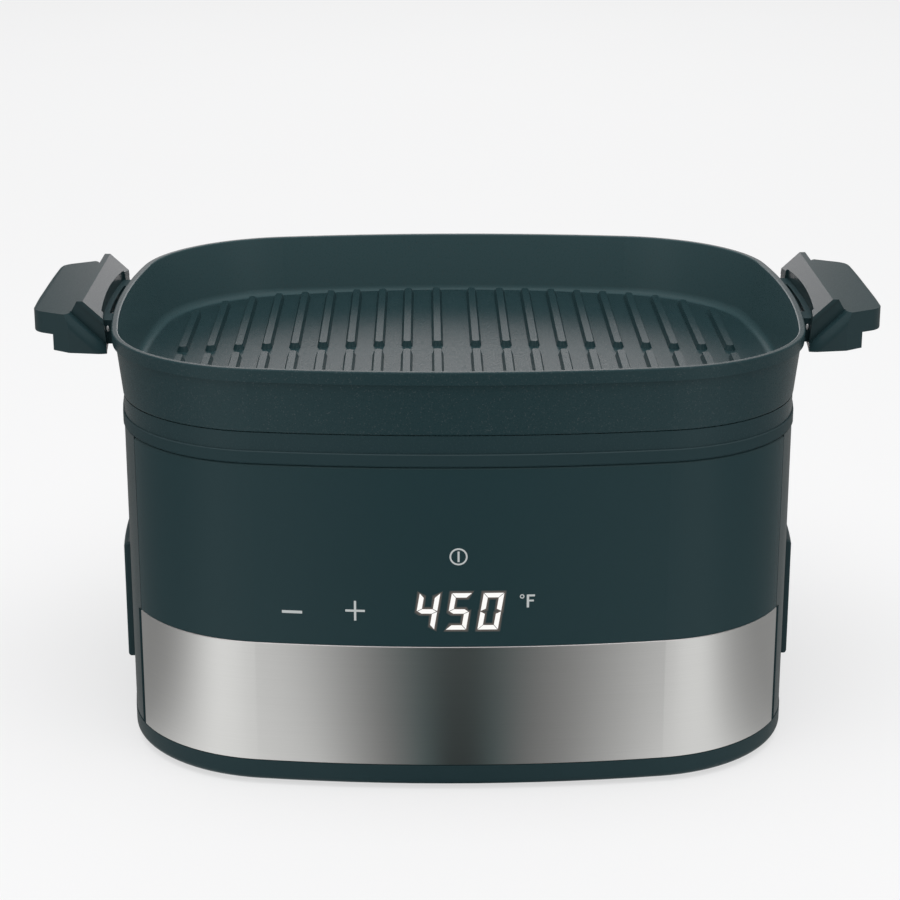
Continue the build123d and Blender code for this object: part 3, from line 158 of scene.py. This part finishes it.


# Finishes: colours are linear, bump depths and the reach at which the painted light on the pan's inner wall
# starts are in metres
BLACK_LOW, BLACK_HIGH = (0.0165, 0.037, 0.042), (0.019, 0.0405, 0.0455)
# Painted highlight: the paler colour that black faces turned upwards take on, for tops and bevels
BLACK_TOP_HIGHLIGHT = (0.034, 0.058, 0.064)
PAN_LOW, PAN_HIGH = (0.0142, 0.036, 0.041), (0.0172, 0.041, 0.046)
# Painted light: a paler tone laid on the inside of the pan's wall, standing in for light in the pan's hollow
PAN_PAINTED_WALL_LIGHT = (0.036, 0.073, 0.08)
# Partly the coat's own flecks, partly a painted glint of their sparkle
PAN_FLECK_GLINT = (0.045, 0.066, 0.071)
PAINTED_WALL_LIGHT_REACH = {"X": 0.15, "Y": 0.124}
STEEL_LOW, STEEL_HIGH = (0.59, 0.59, 0.585), (0.65, 0.65, 0.645)
SHEET_LOW, SHEET_HIGH = (0.4, 0.4, 0.4), (0.55, 0.55, 0.55)

# Some finishes carry a painted highlight: a paler colour on faces turned upwards
PLAIN_FINISHES = {
    "handle_plastic": dict(dark=(0.0138, 0.0342, 0.0388), light=(0.0162, 0.0372, 0.0418), rough=(0.3, 0.4),
                           grain=1800.0, depth=0.00002, specular=0.2),
    "satin_black": dict(dark=BLACK_LOW, light=BLACK_HIGH, rough=(0.34, 0.44), grain=1600.0, depth=0.00002,
                        specular=0.08, top_highlight=BLACK_TOP_HIGHLIGHT),
    "gloss_black": dict(dark=(0.0172, 0.0395, 0.0445), light=(0.0182, 0.041, 0.046), rough=(0.12, 0.18),
                        grain=500.0, depth=0.000004, mottle=5.0, specular=0.1, strength=0.1,
                        top_highlight=(0.03, 0.056, 0.061)),
    "seat_black": dict(dark=BLACK_LOW, light=BLACK_HIGH, rough=(0.2, 0.3), grain=1200.0, depth=0.00001,
                       specular=0.12, top_highlight=BLACK_TOP_HIGHLIGHT),
    "bracket_black": dict(dark=BLACK_LOW, light=BLACK_HIGH, rough=(0.5, 0.62), grain=1500.0, depth=0.00002,
                          specular=0.06),
    "plinth_black": dict(dark=BLACK_LOW, light=BLACK_HIGH, rough=(0.3, 0.42), grain=1500.0, depth=0.00002,
                         specular=0.08),
    "housing_black": dict(dark=BLACK_LOW, light=BLACK_HIGH, rough=(0.3, 0.4), grain=1600.0, depth=0.00002,
                          specular=0.37),
    "foot_rubber": dict(dark=(0.02, 0.02, 0.02), light=(0.03, 0.03, 0.03), rough=(0.75, 0.9), grain=700.0,
                        depth=0.00008, specular=0.3),
    # Painted shade: near-black with almost no shine, for the strips laid in the band's grooves
    "groove_shade_black": dict(dark=(0.0105, 0.025, 0.029), light=(0.0125, 0.028, 0.032), rough=(0.7, 0.85),
                        grain=900.0, depth=0.00002, specular=0.02),
    "screw_steel": dict(dark=(0.55, 0.56, 0.57), light=(0.68, 0.69, 0.7), rough=(0.2, 0.32), grain=1500.0,
                        depth=0.00001, mottle=60.0, metallic=1.0),
    # Painted glint: near-white steel, partly diffuse, so that the rivet heads show bright
    "rivet_steel_painted_glint": dict(dark=(0.8, 0.81, 0.82), light=(0.9, 0.9, 0.9), rough=(0.4, 0.55), grain=1500.0,
                        depth=0.00001, mottle=60.0, metallic=0.4),
    "deck_sheet": dict(dark=(0.5, 0.5, 0.5), light=(0.62, 0.62, 0.61), rough=(0.3, 0.45), grain=500.0,
                       depth=0.00002, mottle=30.0, metallic=1.0),
    "element_sheath": dict(dark=(0.1, 0.085, 0.075), light=(0.2, 0.17, 0.15), rough=(0.45, 0.6), grain=900.0,
                           depth=0.00004, mottle=40.0, metallic=1.0),
    "fan_aluminium": dict(dark=(0.55, 0.56, 0.57), light=(0.7, 0.7, 0.71), rough=(0.3, 0.42), grain=900.0,
                          depth=0.00002, mottle=25.0, metallic=1.0),
    "fan_plastic": dict(dark=(0.03, 0.03, 0.032), light=(0.045, 0.045, 0.047), rough=(0.4, 0.55), grain=900.0,
                        depth=0.00003),
    "motor_case": dict(dark=(0.1, 0.105, 0.11), light=(0.15, 0.155, 0.16), rough=(0.35, 0.5), grain=700.0,
                       depth=0.00004, mottle=30.0, metallic=0.4),
    "display_dark": dict(dark=(0.004, 0.004, 0.0045), light=(0.006, 0.006, 0.0065), rough=(0.15, 0.25),
                         grain=900.0, depth=0.00003),
    "part_plastic": dict(dark=(0.5, 0.5, 0.47), light=(0.6, 0.6, 0.57), rough=(0.4, 0.5), grain=800.0,
                         depth=0.00003, mottle=30.0),
    "fuse_metal": dict(dark=(0.6, 0.6, 0.6), light=(0.7, 0.7, 0.7), rough=(0.25, 0.35), grain=900.0,
                       depth=0.00001, mottle=60.0, metallic=1.0),
}


def plain(name, dark, light, rough, grain, depth, mottle=9.0, metallic=0.0, specular=0.5, strength=0.35,
          top_highlight=None):
    """Two close tones in a mottle, uneven roughness, a fine grain and, if given, a painted highlight: a paler
    colour on faces turned upwards.
    """
    mat, tree, shader = blank(name)
    place = object_place(tree)
    tone = blend(tree, noise(tree, place, mottle, detail=4.0, roughness=0.55), dark, light)
    fine = noise(tree, place, grain, detail=2.0)
    # Painted highlight: faces turned upwards are blended towards a paler colour
    if top_highlight:
        facing = add_node(tree, "ShaderNodeNewGeometry")
        upward = split_axes(tree, facing.outputs["Normal"])["Z"]
        tone = blend(tree, remap(tree, upward, 0.0, 1.0, start=0.3, end=0.6), tone, top_highlight)
    tree.links.new(tone, shader.inputs["Base Color"])
    tree.links.new(remap(tree, fine, *rough), shader.inputs["Roughness"])
    shader.inputs["Metallic"].default_value = metallic
    shader.inputs["Specular IOR Level"].default_value = specular
    raise_by(tree, shader, fine, strength, depth)
    return mat


def painted_wall_light_share(tree, place):
    """Share of painted light on the pan's wall: 1 where the wall faces the middle, 0 on its outside, its
    floor and the ridges.
    """
    facing = add_node(tree, "ShaderNodeNewGeometry")
    flat = add_node(tree, "ShaderNodeVectorMath", operation="MULTIPLY")
    flat.inputs[1].default_value = (1.0, 1.0, 0.0)
    tree.links.new(place, flat.inputs[0])
    outward = add_node(tree, "ShaderNodeVectorMath", operation="NORMALIZE")
    tree.links.new(flat.outputs["Vector"], outward.inputs[0])
    along = add_node(tree, "ShaderNodeVectorMath", operation="DOT_PRODUCT")
    tree.links.new(outward.outputs["Vector"], along.inputs[0])
    tree.links.new(facing.outputs["Normal"], along.inputs[1])
    inward = remap(tree, along.outputs["Value"], 1.0, 0.0, start=-0.45, end=-0.15)
    axes = split_axes(tree, place)
    reach = []
    for axis, half in PAINTED_WALL_LIGHT_REACH.items():
        part = maths(tree, "DIVIDE", maths(tree, "ABSOLUTE", axes[axis]), half)
        reach.append(maths(tree, "POWER", part, 4.0))
    far_out = remap(tree, maths(tree, "ADD", *reach), 0.0, 1.0, start=0.95, end=1.2)
    return maths(tree, "MULTIPLY", inward, far_out)


def pan_coat():
    """Non-stick coat of the cast pan: near-black with a cold tint, painted light on the inside of its wall, a
    fine orange peel and faint flecks that are partly a painted glint.
    """
    mat, tree, shader = blank("pan_coating")
    place = object_place(tree)
    coat = blend(tree, noise(tree, place, 14.0, detail=4.0, roughness=0.6), PAN_LOW, PAN_HIGH)
    # Painted light on the inner wall
    base = blend(tree, painted_wall_light_share(tree, place), coat, PAN_PAINTED_WALL_LIGHT)
    # Faint flecks: partly the coat's own, partly a painted glint
    cells = add_node(tree, "ShaderNodeTexVoronoi", Scale=2400.0)
    tree.links.new(place, cells.inputs["Vector"])
    split = add_node(tree, "ShaderNodeSeparateColor")
    tree.links.new(cells.outputs["Color"], split.inputs["Color"])
    fleck_glint = remap(tree, split.outputs["Red"], 0.0, 1.0, start=0.94, end=0.985)
    tree.links.new(blend(tree, fleck_glint, base, PAN_FLECK_GLINT), shader.inputs["Base Color"])
    peel = noise(tree, place, 1500.0, detail=2.0)
    tree.links.new(remap(tree, peel, 0.24, 0.36), shader.inputs["Roughness"])
    shader.inputs["Specular IOR Level"].default_value = 0.14
    fine = raise_by(tree, shader, peel, strength=0.3, distance=0.00002)
    wave = noise(tree, place, 380.0, detail=1.0)
    raise_by(tree, shader, wave, strength=0.08, distance=0.00006, under=fine)
    return mat


def brushed(name, low, high, along, rough, spread, bump):
    """Brushed steel with fine streaks, which draws the light out upright where a spread is given."""
    mat, tree, shader = blank(name)
    streak = noise(tree, object_place(tree, along), 1.0, detail=4.0, roughness=0.65)
    wide = noise(tree, object_place(tree, tuple(0.35 * scale for scale in along)), 1.0, detail=2.0)
    tree.links.new(blend(tree, streak, low, high), shader.inputs["Base Color"])
    tree.links.new(remap(tree, wide, *rough), shader.inputs["Roughness"])
    shader.inputs["Metallic"].default_value = 1.0
    if spread:
        tangent = add_node(tree, "ShaderNodeTangent", direction_type="RADIAL", axis="Z")
        tree.links.new(tangent.outputs["Tangent"], shader.inputs["Tangent"])
        shader.inputs["Anisotropic"].default_value = spread
        shader.inputs["Anisotropic Rotation"].default_value = 0.25
    raise_by(tree, shader, streak, bump, distance=0.00001)
    return mat


def pad_fibre():
    """Weave of fine fibres for the insulation pad."""
    mat, tree, shader = blank("mineral_pad")
    wave = add_node(tree, "ShaderNodeTexWave", Scale=260.0, Distortion=9.0, Detail=3.0)
    tree.links.new(object_place(tree, (1.0, 1.0, 4.0)), wave.inputs["Vector"])
    tone = blend(tree, wave.outputs["Fac"], (0.5, 0.47, 0.38), (0.62, 0.6, 0.52))
    tree.links.new(tone, shader.inputs["Base Color"])
    shader.inputs["Roughness"].default_value = 0.95
    shader.inputs["Specular IOR Level"].default_value = 0.2
    raise_by(tree, shader, wave.outputs["Fac"], strength=0.6, distance=0.0003)
    return mat


def board_lacquer():
    """Circuit board: green lacquer over paler tracks."""
    mat, tree, shader = blank("circuit_board")
    brick = add_node(tree, "ShaderNodeTexBrick", Scale=120.0, Mortar_Size=0.035,
                     Color1=(0.012, 0.06, 0.028, 1.0), Color2=(0.014, 0.07, 0.032, 1.0),
                     Mortar=(0.03, 0.16, 0.06, 1.0))
    tree.links.new(object_place(tree), brick.inputs["Vector"])
    tree.links.new(brick.outputs["Color"], shader.inputs["Base Color"])
    shader.inputs["Roughness"].default_value = 0.32
    raise_by(tree, shader, brick.outputs["Fac"], strength=0.2, distance=0.00004)
    return mat


def glow(name, colour):
    """A lit sign: an even emission over a dark base."""
    mat, tree, shader = blank(name)
    grain = noise(tree, object_place(tree), 700.0, detail=1.0)
    dim = tuple(0.94 * channel for channel in colour)
    tree.links.new(blend(tree, grain, dim, colour), shader.inputs["Emission Color"])
    shader.inputs["Base Color"].default_value = (0.02, 0.02, 0.02, 1.0)
    shader.inputs["Emission Strength"].default_value = 1.0
    shader.inputs["Roughness"].default_value = 0.4
    shader.inputs["Specular IOR Level"].default_value = 0.1
    return mat


materials = {name: plain(name, **finish) for name, finish in PLAIN_FINISHES.items()}
materials["pan_coating"] = pan_coat()
materials["brushed_steel"] = brushed("brushed_steel", STEEL_LOW, STEEL_HIGH, along=(16.0, 16.0, 2200.0),
                                     rough=(0.325, 0.34), spread=0.75, bump=0.015)
materials["plain_steel"] = brushed("plain_steel", SHEET_LOW, SHEET_HIGH, along=(300.0, 300.0, 40.0),
                                   rough=(0.3, 0.42), spread=0.0, bump=0.1)
materials["mineral_pad"] = pad_fibre()
materials["circuit_board"] = board_lacquer()
for part in frame["record"]["subparts"]:
    mesh = nodes[part["node"]].data
    mesh.materials.clear()
    mesh.materials.append(materials[part["material_slot"]])

# The housing's side walls shine more than the other satin mouldings
nodes["outer_housing"].data.materials[0] = materials["housing_black"]


# Piece tools
def linked(name, mesh):
    """A new object of a mesh, in the scene."""
    piece = bpy.data.objects.new(name, mesh)
    bpy.context.scene.collection.objects.link(piece)
    return piece


def finished(name, built):
    """A new object of a built mesh, in the scene."""
    mesh = bpy.data.meshes.new(name)
    built.to_mesh(mesh)
    built.free()
    return linked(name, mesh)


def close_between(built, first, second):
    """Two rings of vertices as the ends of a closed solid."""
    built.faces.new(first)
    built.faces.new(list(reversed(second)))
    for i in range(len(first)):
        j = (i + 1) % len(first)
        built.faces.new((first[j], first[i], second[i], second[j]))


# The probe's spring, as a copy with a mesh of its own that rides with the base
coil = linked("probe_coil", nodes["probe_spring"].data.copy())
coil.matrix_world = nodes["probe_spring"].matrix_world
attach(coil, "base")
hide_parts("probe_spring")
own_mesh(coil)

# Front signs: thin slabs laid on the curved face of the fascia. The face's arc, the slabs' thickness and
# their lift off the face are in metres, and their outlines in millimetres
FACE_RADIUS = 0.6703
FACE_CENTRE = 0.523
SIGN_THICK, HALO_THICK = 0.00005, 0.00003
SIGN_LIFT, DIGIT_LIFT, HALO_LIFT, FAINT_LIFT = 0.0001, 0.0002, 0.00015, 0.00011


def face_y(x, lift):
    """Depth of the fascia's outer face at x, raised by lift."""
    return FACE_CENTRE - sqrt((FACE_RADIUS + lift) ** 2 - x * x)


def laid(name, shapes, mat, lift, thick):
    """Closed outlines as slabs that follow the face's curve."""
    built = bmesh.new()
    for outline in shapes:
        layers = []
        for height in (lift, lift - thick):
            layers.append([built.verts.new((x * MM, face_y(x * MM, height), z * MM)) for x, z in outline])
        close_between(built, *layers)
    bmesh.ops.recalc_face_normals(built, faces=built.faces)
    piece = finished(name, built)
    piece.data.materials.append(mat)
    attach(piece, "base")


def bar(x, z, width, height):
    """An upright rectangle around a centre."""
    w, h = width / 2, height / 2
    return [(x - w, z - h), (x + w, z - h), (x + w, z + h), (x - w, z + h)]


def hoop(x, z, outer, inner, parts):
    """A ring as a row of small quads."""
    quads = []
    for i in range(parts):
        a, b = 2 * pi * i / parts, 2 * pi * (i + 1) / parts
        corners = ((inner, a), (outer, a), (outer, b), (inner, b))
        quads.append([(x + radius * cos(turn), z + radius * sin(turn)) for radius, turn in corners])
    return quads


# Seven-segment digits in millimetres: mitred strokes with a dark hairline between them, leaned to the right
CELL_WIDTH, CELL_HEIGHT, STROKE, LEAN = 9.8, 18.7, 2.25, 0.165
HAIRLINE = 0.2
MIDDLE_INSET = 0.3
DIGIT_LEFT, DIGIT_PITCH, DIGIT_BASE = -22.7, 15.3, 84.45
READING = "450"
SEGMENTS = {"4": "fgbc", "5": "afgcd", "0": "abcdef"}


def segment(name):
    """One stroke in an upright cell, its mitres drawn back by the hairline."""
    w, h, s, m = CELL_WIDTH, CELL_HEIGHT, STROKE, CELL_HEIGHT / 2
    tip, bend = MIDDLE_INSET + HAIRLINE, STROKE + HAIRLINE
    if name == "g":
        return [(tip, m), (bend, m + s / 2), (w - bend, m + s / 2), (w - tip, m), (w - bend, m - s / 2),
                (bend, m - s / 2)]
    if name in "ad":
        points = [(HAIRLINE, h), (w - HAIRLINE, h), (w - bend, h - s), (bend, h - s)]
    else:
        points = [(0, h - HAIRLINE), (s, h - bend), (s, m + s / 2 + HAIRLINE), (0, m + HAIRLINE)]
    if name in "bc":
        points = [(w - x, z) for x, z in points]
    if name in "cde":
        points = [(x, h - z) for x, z in points]
    return points


def digit(value, left):
    """The strokes of a digit whose lower left corner is at left."""
    strokes = [segment(name) for name in SEGMENTS[value]]
    return [[(left + x + LEAN * z, DIGIT_BASE + z) for x, z in stroke] for stroke in strokes]


def grown(outline, by):
    """An outline pushed outwards from its middle by a fixed distance."""
    cx = sum(x for x, z in outline) / len(outline)
    cz = sum(z for x, z in outline) / len(outline)
    return [(x + by * (1 if x > cx else -1), z + by * (1 if z > cz else -1)) for x, z in outline]


# Each digit has its strokes, a painted warm glow around them and a fainter one around that: name, finish,
# growth of
# the outline, lift and thickness
DIGIT_LAYERS = (
    ("digit", glow("lit_digit", (1.0, 0.99, 0.97)), 0.0, DIGIT_LIFT, SIGN_THICK),
    ("digit_glow", glow("digit_halo", (0.09, 0.076, 0.067)), 0.75, HALO_LIFT, HALO_THICK),
    ("digit_faint_glow", glow("digit_halo_faint", (0.038, 0.05, 0.05)), 1.2, FAINT_LIFT, HALO_THICK),
)
for place, value in enumerate(READING):
    strokes = digit(value, DIGIT_LEFT + place * DIGIT_PITCH)
    for name, mat, growth, lift, thick in DIGIT_LAYERS:
        laid(f"{name}_{value}", [grown(stroke, growth) for stroke in strokes], mat, lift, thick)

# Touch signs in millimetres: a bar has its middle, width and height, a hoop its middle and two radii
POWER_X, POWER_Z = -1.15, 121.6
PLUS_X, PLUS_Z, PLUS_WIDTH, PLUS_LINE, PLUS_HALF = -50.7, 93.6, 9.4, 1.1, 4.5
PLUS_OFF = (PLUS_LINE + PLUS_HALF) / 2
SIGNS = {
    "power_sign": hoop(POWER_X, POWER_Z, 4.3, 3.5, 48) + [bar(POWER_X, POWER_Z, 0.95, 5.3)],
    "minus_sign": [bar(-81.1, 92.0, 9.8, 1.4)],
    "plus_sign": [bar(PLUS_X, PLUS_Z, PLUS_WIDTH, PLUS_LINE),
                  bar(PLUS_X, PLUS_Z + PLUS_OFF, PLUS_LINE, PLUS_HALF),
                  bar(PLUS_X, PLUS_Z - PLUS_OFF, PLUS_LINE, PLUS_HALF)],
    "degree_sign": hoop(29.3, 101.1, 1.1, 0.6, 24),
    "scale_sign": [bar(32.1, 98.7, 1.15, 6.6), bar(34.05, 101.5, 2.8, 1.0), bar(33.8, 98.9, 2.3, 0.9)],
}
touch_glow = glow("touch_sign", (0.46, 0.49, 0.49))
for name, shapes in SIGNS.items():
    laid(name, shapes, touch_glow, SIGN_LIFT, SIGN_THICK)

# Steel rivet heads on the front and rear ends of the handle brackets, stretched to be higher than wide; their
# pale, partly diffuse finish is a painted glint
RIVET_RADIUS = 0.001
RIVET_STRETCH = (0.75, 0.6, 1.5)
RIVET_INSET, RIVET_DROP = 0.0046, 0.0045


def rivet(name, x, y, z):
    """A small domed head around a point."""
    built = bmesh.new()
    bmesh.ops.create_uvsphere(built, u_segments=20, v_segments=12, radius=RIVET_RADIUS)
    for vert in built.verts:
        vert.co = Vector((x, y, z)) + vert.co * Vector(RIVET_STRETCH)
    head = finished(name, built)
    for face in head.data.polygons:
        face.use_smooth = True
    head.data.materials.append(materials["rivet_steel_painted_glint"])
    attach(head, "pan")


for hand, side in (("right", 1), ("left", -1)):
    low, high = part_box(f"handle_bracket_{hand}")
    rivet_x = side * (max(abs(low[0]), abs(high[0])) - RIVET_INSET)
    for end, rivet_y in (("front", low[1]), ("rear", high[1])):
        rivet(f"rivet_{hand}_{end}", rivet_x, rivet_y, high[2] - RIVET_DROP)

# Dark strips of painted shade beside the steel band's ends, standing in for the groove's shade. Each outline
# point is in millimetres back along the wall and out of it: a foot that stands in the groove and a rounded
# lip that lies on the wall
SHADE_STRIP_OUTLINE = ((0.04, -0.8), (0.96, -0.8), (0.96, 0.04), (3.4, -0.12), (3.5, 0.02), (3.3, 0.14), (2.2, 0.24),
                (1.0, 0.22), (0.2, 0.1), (0.04, -0.1))
WALL_OUT = Vector((0.897, -0.443))
WALL_BACK = Vector((-WALL_OUT.y, WALL_OUT.x))
SHADE_STRIP_END_GAP = 0.0002


def shade_strip(name, side, band):
    """A lipped strip of painted shade at the band's right end, or at its left end for side -1."""
    low, high = band
    corner = high.xy
    built = bmesh.new()
    rings = []
    for level in (low.z + SHADE_STRIP_END_GAP, high.z - SHADE_STRIP_END_GAP):
        spots = [corner + MM * along * WALL_BACK + MM * depth * WALL_OUT for along, depth in SHADE_STRIP_OUTLINE]
        rings.append([built.verts.new((side * spot.x, spot.y, level)) for spot in spots])
    close_between(built, *rings)
    bmesh.ops.recalc_face_normals(built, faces=built.faces)
    shade_piece = finished(name, built)
    shade_piece.data.materials.append(materials["groove_shade_black"])
    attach(shade_piece, "base")


steel_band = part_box("steel_band")
shade_strip("band_shade_strip_right", 1, steel_band)
shade_strip("band_shade_strip_left", -1, steel_band)

# Floor: a pale sheet that stays pale to the camera and keeps the soft shadow
FLOOR_HALF = 6.0
FLOOR_LOW, FLOOR_HIGH = (0.88, 0.88, 0.885), (0.9, 0.9, 0.905)
EVEN_PALE = (0.945, 0.945, 0.947, 1.0)
EVEN_SHARE = 0.66


def floor_pale():
    """A pale diffuse sheet, mixed for the camera with an even glow."""
    mat, tree, surface = bare("floor_pale")
    mottle = noise(tree, object_place(tree), 3.0)
    diffuse = add_node(tree, "ShaderNodeBsdfDiffuse")
    tree.links.new(blend(tree, mottle, FLOOR_LOW, FLOOR_HIGH), diffuse.inputs["Color"])
    even = add_node(tree, "ShaderNodeEmission", Color=EVEN_PALE, Strength=1.0)
    mix = add_node(tree, "ShaderNodeMixShader")
    tree.links.new(maths(tree, "MULTIPLY", seen_rays(tree), EVEN_SHARE), mix.inputs[0])
    tree.links.new(diffuse.outputs[0], mix.inputs[1])
    tree.links.new(even.outputs[0], mix.inputs[2])
    tree.links.new(mix.outputs[0], surface)
    return mat


sheet = bmesh.new()
bmesh.ops.create_grid(sheet, x_segments=8, y_segments=8, size=FLOOR_HALF)
floor = finished("floor", sheet)
floor.data.materials.append(floor_pale())

# Studio surround that only reflections see: a floor, a round wall and a lid, dark where black cards stand
SURROUND_RADIUS, SURROUND_HEIGHT = 1.2, 1.5
SURROUND_FOOT = 0.0006
SURROUND_PROFILE = ((0.01, SURROUND_FOOT), (SURROUND_RADIUS, SURROUND_FOOT),
                    (SURROUND_RADIUS, SURROUND_HEIGHT), (0.2, SURROUND_HEIGHT))
SURROUND_STEPS = 96

# Brightness of the surround by the angle from the front in degrees: a dark card in the middle, two soft lamps
AROUND = ((-180, 0.34), (-168, 0.3), (-155, 0.22), (-138, 0.26), (-110, 0.32), (-80, 0.32), (-70, 0.4),
          (-62, 0.58), (-50, 1.0), (-45, 1.1), (-38, 1.04), (-33, 0.95), (-25, 0.83), (-18, 0.48),
          (-12.5, 0.26), (-6, 0.1), (-2.5, 0.03), (0, 0.022), (2.5, 0.03), (6, 0.09), (12, 0.22), (18, 0.34),
          (23, 0.5), (28, 0.67), (34, 0.92), (40, 0.99), (46, 1.02), (50, 0.9), (54, 0.73), (62, 0.5),
          (75, 0.36), (180, 0.34))
DARK_CARD_HALF = 7
DARK_CARD_TINT, LAMP_TINT = (0.7, 1.1, 1.1), (1.0, 1.0, 0.985)

# Pale card behind the pan: where in metres it fades in depth, to the sides and upwards, and where its foot is
# brighter. Over it the lid is lit, and the lamps lose some of their light towards the top
CARD_LEVEL = 1.22
CARD_TINT = (1.0, 0.93, 0.94, 1.0)
CARD_DEPTH = {"start": 0.5, "end": 0.9}
CARD_SIDE = {"start": 0.24, "end": 0.42}
CARD_TOP = {"start": 0.55, "end": 0.85}
CARD_FOOT = {"start": 0.4, "end": 0.5}
CARD_FOOT_GAIN = 1.4
LID_LEVEL = 1.1
LID_EDGE = {"start": SURROUND_HEIGHT - 0.04, "end": SURROUND_HEIGHT - 0.01}
LAMP_TOP_SHARE = 0.45
LAMP_TOP = {"start": 0.8, "end": 1.4}


def surround_shell():
    """The surround's mesh as an object that casts no shadow and that only glossy rays meet."""
    built = bmesh.new()
    rows = []
    for radius, level in SURROUND_PROFILE:
        turns = [2 * pi * i / SURROUND_STEPS for i in range(SURROUND_STEPS)]
        rows.append([built.verts.new((radius * sin(turn), -radius * cos(turn), level)) for turn in turns])
    for low, high in zip(rows, rows[1:]):
        for i in range(SURROUND_STEPS):
            j = (i + 1) % SURROUND_STEPS
            built.faces.new((low[i], low[j], high[j], high[i]))
    shell = finished("surround", built)
    shell.visible_camera = False
    shell.visible_diffuse = False
    shell.visible_shadow = False
    shell.visible_transmission = False
    return shell


def lamp_ramp(tree, along, deep):
    """The surround's colour by the angle from the front."""
    angle = maths(tree, "ARCTAN2", along, maths(tree, "MULTIPLY", deep, -1.0))
    ramp = add_node(tree, "ShaderNodeValToRGB")
    tree.links.new(maths(tree, "ADD", maths(tree, "MULTIPLY", angle, 0.5 / pi), 0.5), ramp.inputs["Fac"])
    elements = ramp.color_ramp.elements
    while len(elements) < len(AROUND):
        elements.new(0.5)
    for element, (turn, level) in zip(elements, AROUND):
        tint = DARK_CARD_TINT if abs(turn) < DARK_CARD_HALF else LAMP_TINT
        element.position = 0.5 + turn / 360
        element.color = (*(level * channel for channel in tint), 1.0)
    return ramp.outputs["Color"]


def card_level(tree, along, deep, high):
    """Brightness of the pale card behind the pan and of the lid above it."""
    side = remap(tree, maths(tree, "ABSOLUTE", along), 1.0, 0.0, **CARD_SIDE)
    upright = maths(tree, "MULTIPLY", remap(tree, high, 1.0, 0.0, **CARD_TOP),
                    remap(tree, high, CARD_FOOT_GAIN, 1.0, **CARD_FOOT))
    depth = remap(tree, deep, 0.0, 1.0, **CARD_DEPTH)
    card = maths(tree, "MULTIPLY", maths(tree, "MULTIPLY", side, upright), depth)
    lid = remap(tree, high, 0.0, LID_LEVEL, **LID_EDGE)
    return maths(tree, "ADD", maths(tree, "MULTIPLY", card, CARD_LEVEL), lid)


def surround_light():
    """The surround's light: lamps and dark card all round, and the pale card and the lid on top of them."""
    mat, tree, surface = bare("surround_light")
    place = add_node(tree, "ShaderNodeTexCoord")
    along, deep, high = split_axes(tree, place.outputs["Object"])
    lamps = add_node(tree, "ShaderNodeEmission")
    tree.links.new(lamp_ramp(tree, along, deep), lamps.inputs["Color"])
    tree.links.new(remap(tree, high, 1.0, LAMP_TOP_SHARE, **LAMP_TOP), lamps.inputs["Strength"])
    cards = add_node(tree, "ShaderNodeEmission", Color=CARD_TINT)
    tree.links.new(card_level(tree, along, deep, high), cards.inputs["Strength"])
    both = add_node(tree, "ShaderNodeAddShader")
    tree.links.new(lamps.outputs[0], both.inputs[0])
    tree.links.new(cards.outputs[0], both.inputs[1])
    tree.links.new(both.outputs[0], surface)
    return mat


surround_shell().data.materials.append(surround_light())

# World: an even pale surround, as pale as the floor where the camera sees it
WORLD_PALE = (0.905, 0.905, 0.908, 1.0)
WORLD_LIGHT = 0.75
world = bpy.data.worlds.new("studio")
bpy.context.scene.world = world
world.use_nodes = True
tree = world.node_tree
back = tree.nodes["Background"]
back.inputs["Color"].default_value = WORLD_PALE
tree.links.new(remap(tree, seen_rays(tree), WORLD_LIGHT, 1.0), back.inputs["Strength"])


# Soft lamps
def lamp(name, place, target, size, energy):
    """A square soft lamp that faces its target and shows in no reflection."""
    data = bpy.data.lights.new(name, "AREA")
    data.shape = "SQUARE"
    data.size = size
    data.energy = energy
    obj = bpy.data.objects.new(name, data)
    obj.location = place
    obj.rotation_euler = (Vector(target) - Vector(place)).to_track_quat("-Z", "Y").to_euler()
    obj.visible_glossy = False
    bpy.context.scene.collection.objects.link(obj)


lamp("top_light", place=(0.0, -0.35, 1.45), target=(0.0, 0.05, 0.2), size=1.2, energy=11.5)
lamp("back_light", place=(0.0, 2.2, 1.6), target=(0.0, 2.2, 0.0), size=2.0, energy=8.5)

# Camera at the photo's angle: its tilt and turn are in radians, its lens and sensor in millimetres
CAMERA_PLACE = (-0.01645, -1.17807, 0.50071)
CAMERA_DOWN, CAMERA_TURN = 0.3062, -0.0109
FOCAL_LENGTH, SENSOR_WIDTH = 92.37, 36.0
data = bpy.data.cameras.new("camera")
data.sensor_width = SENSOR_WIDTH
data.lens = FOCAL_LENGTH
camera = bpy.data.objects.new("camera", data)
camera.location = CAMERA_PLACE
camera.rotation_euler = (pi / 2 - CAMERA_DOWN, 0.0, CAMERA_TURN)
bpy.context.scene.collection.objects.link(camera)
bpy.context.scene.camera = camera
bpy.context.scene.view_settings.view_transform = "Standard"
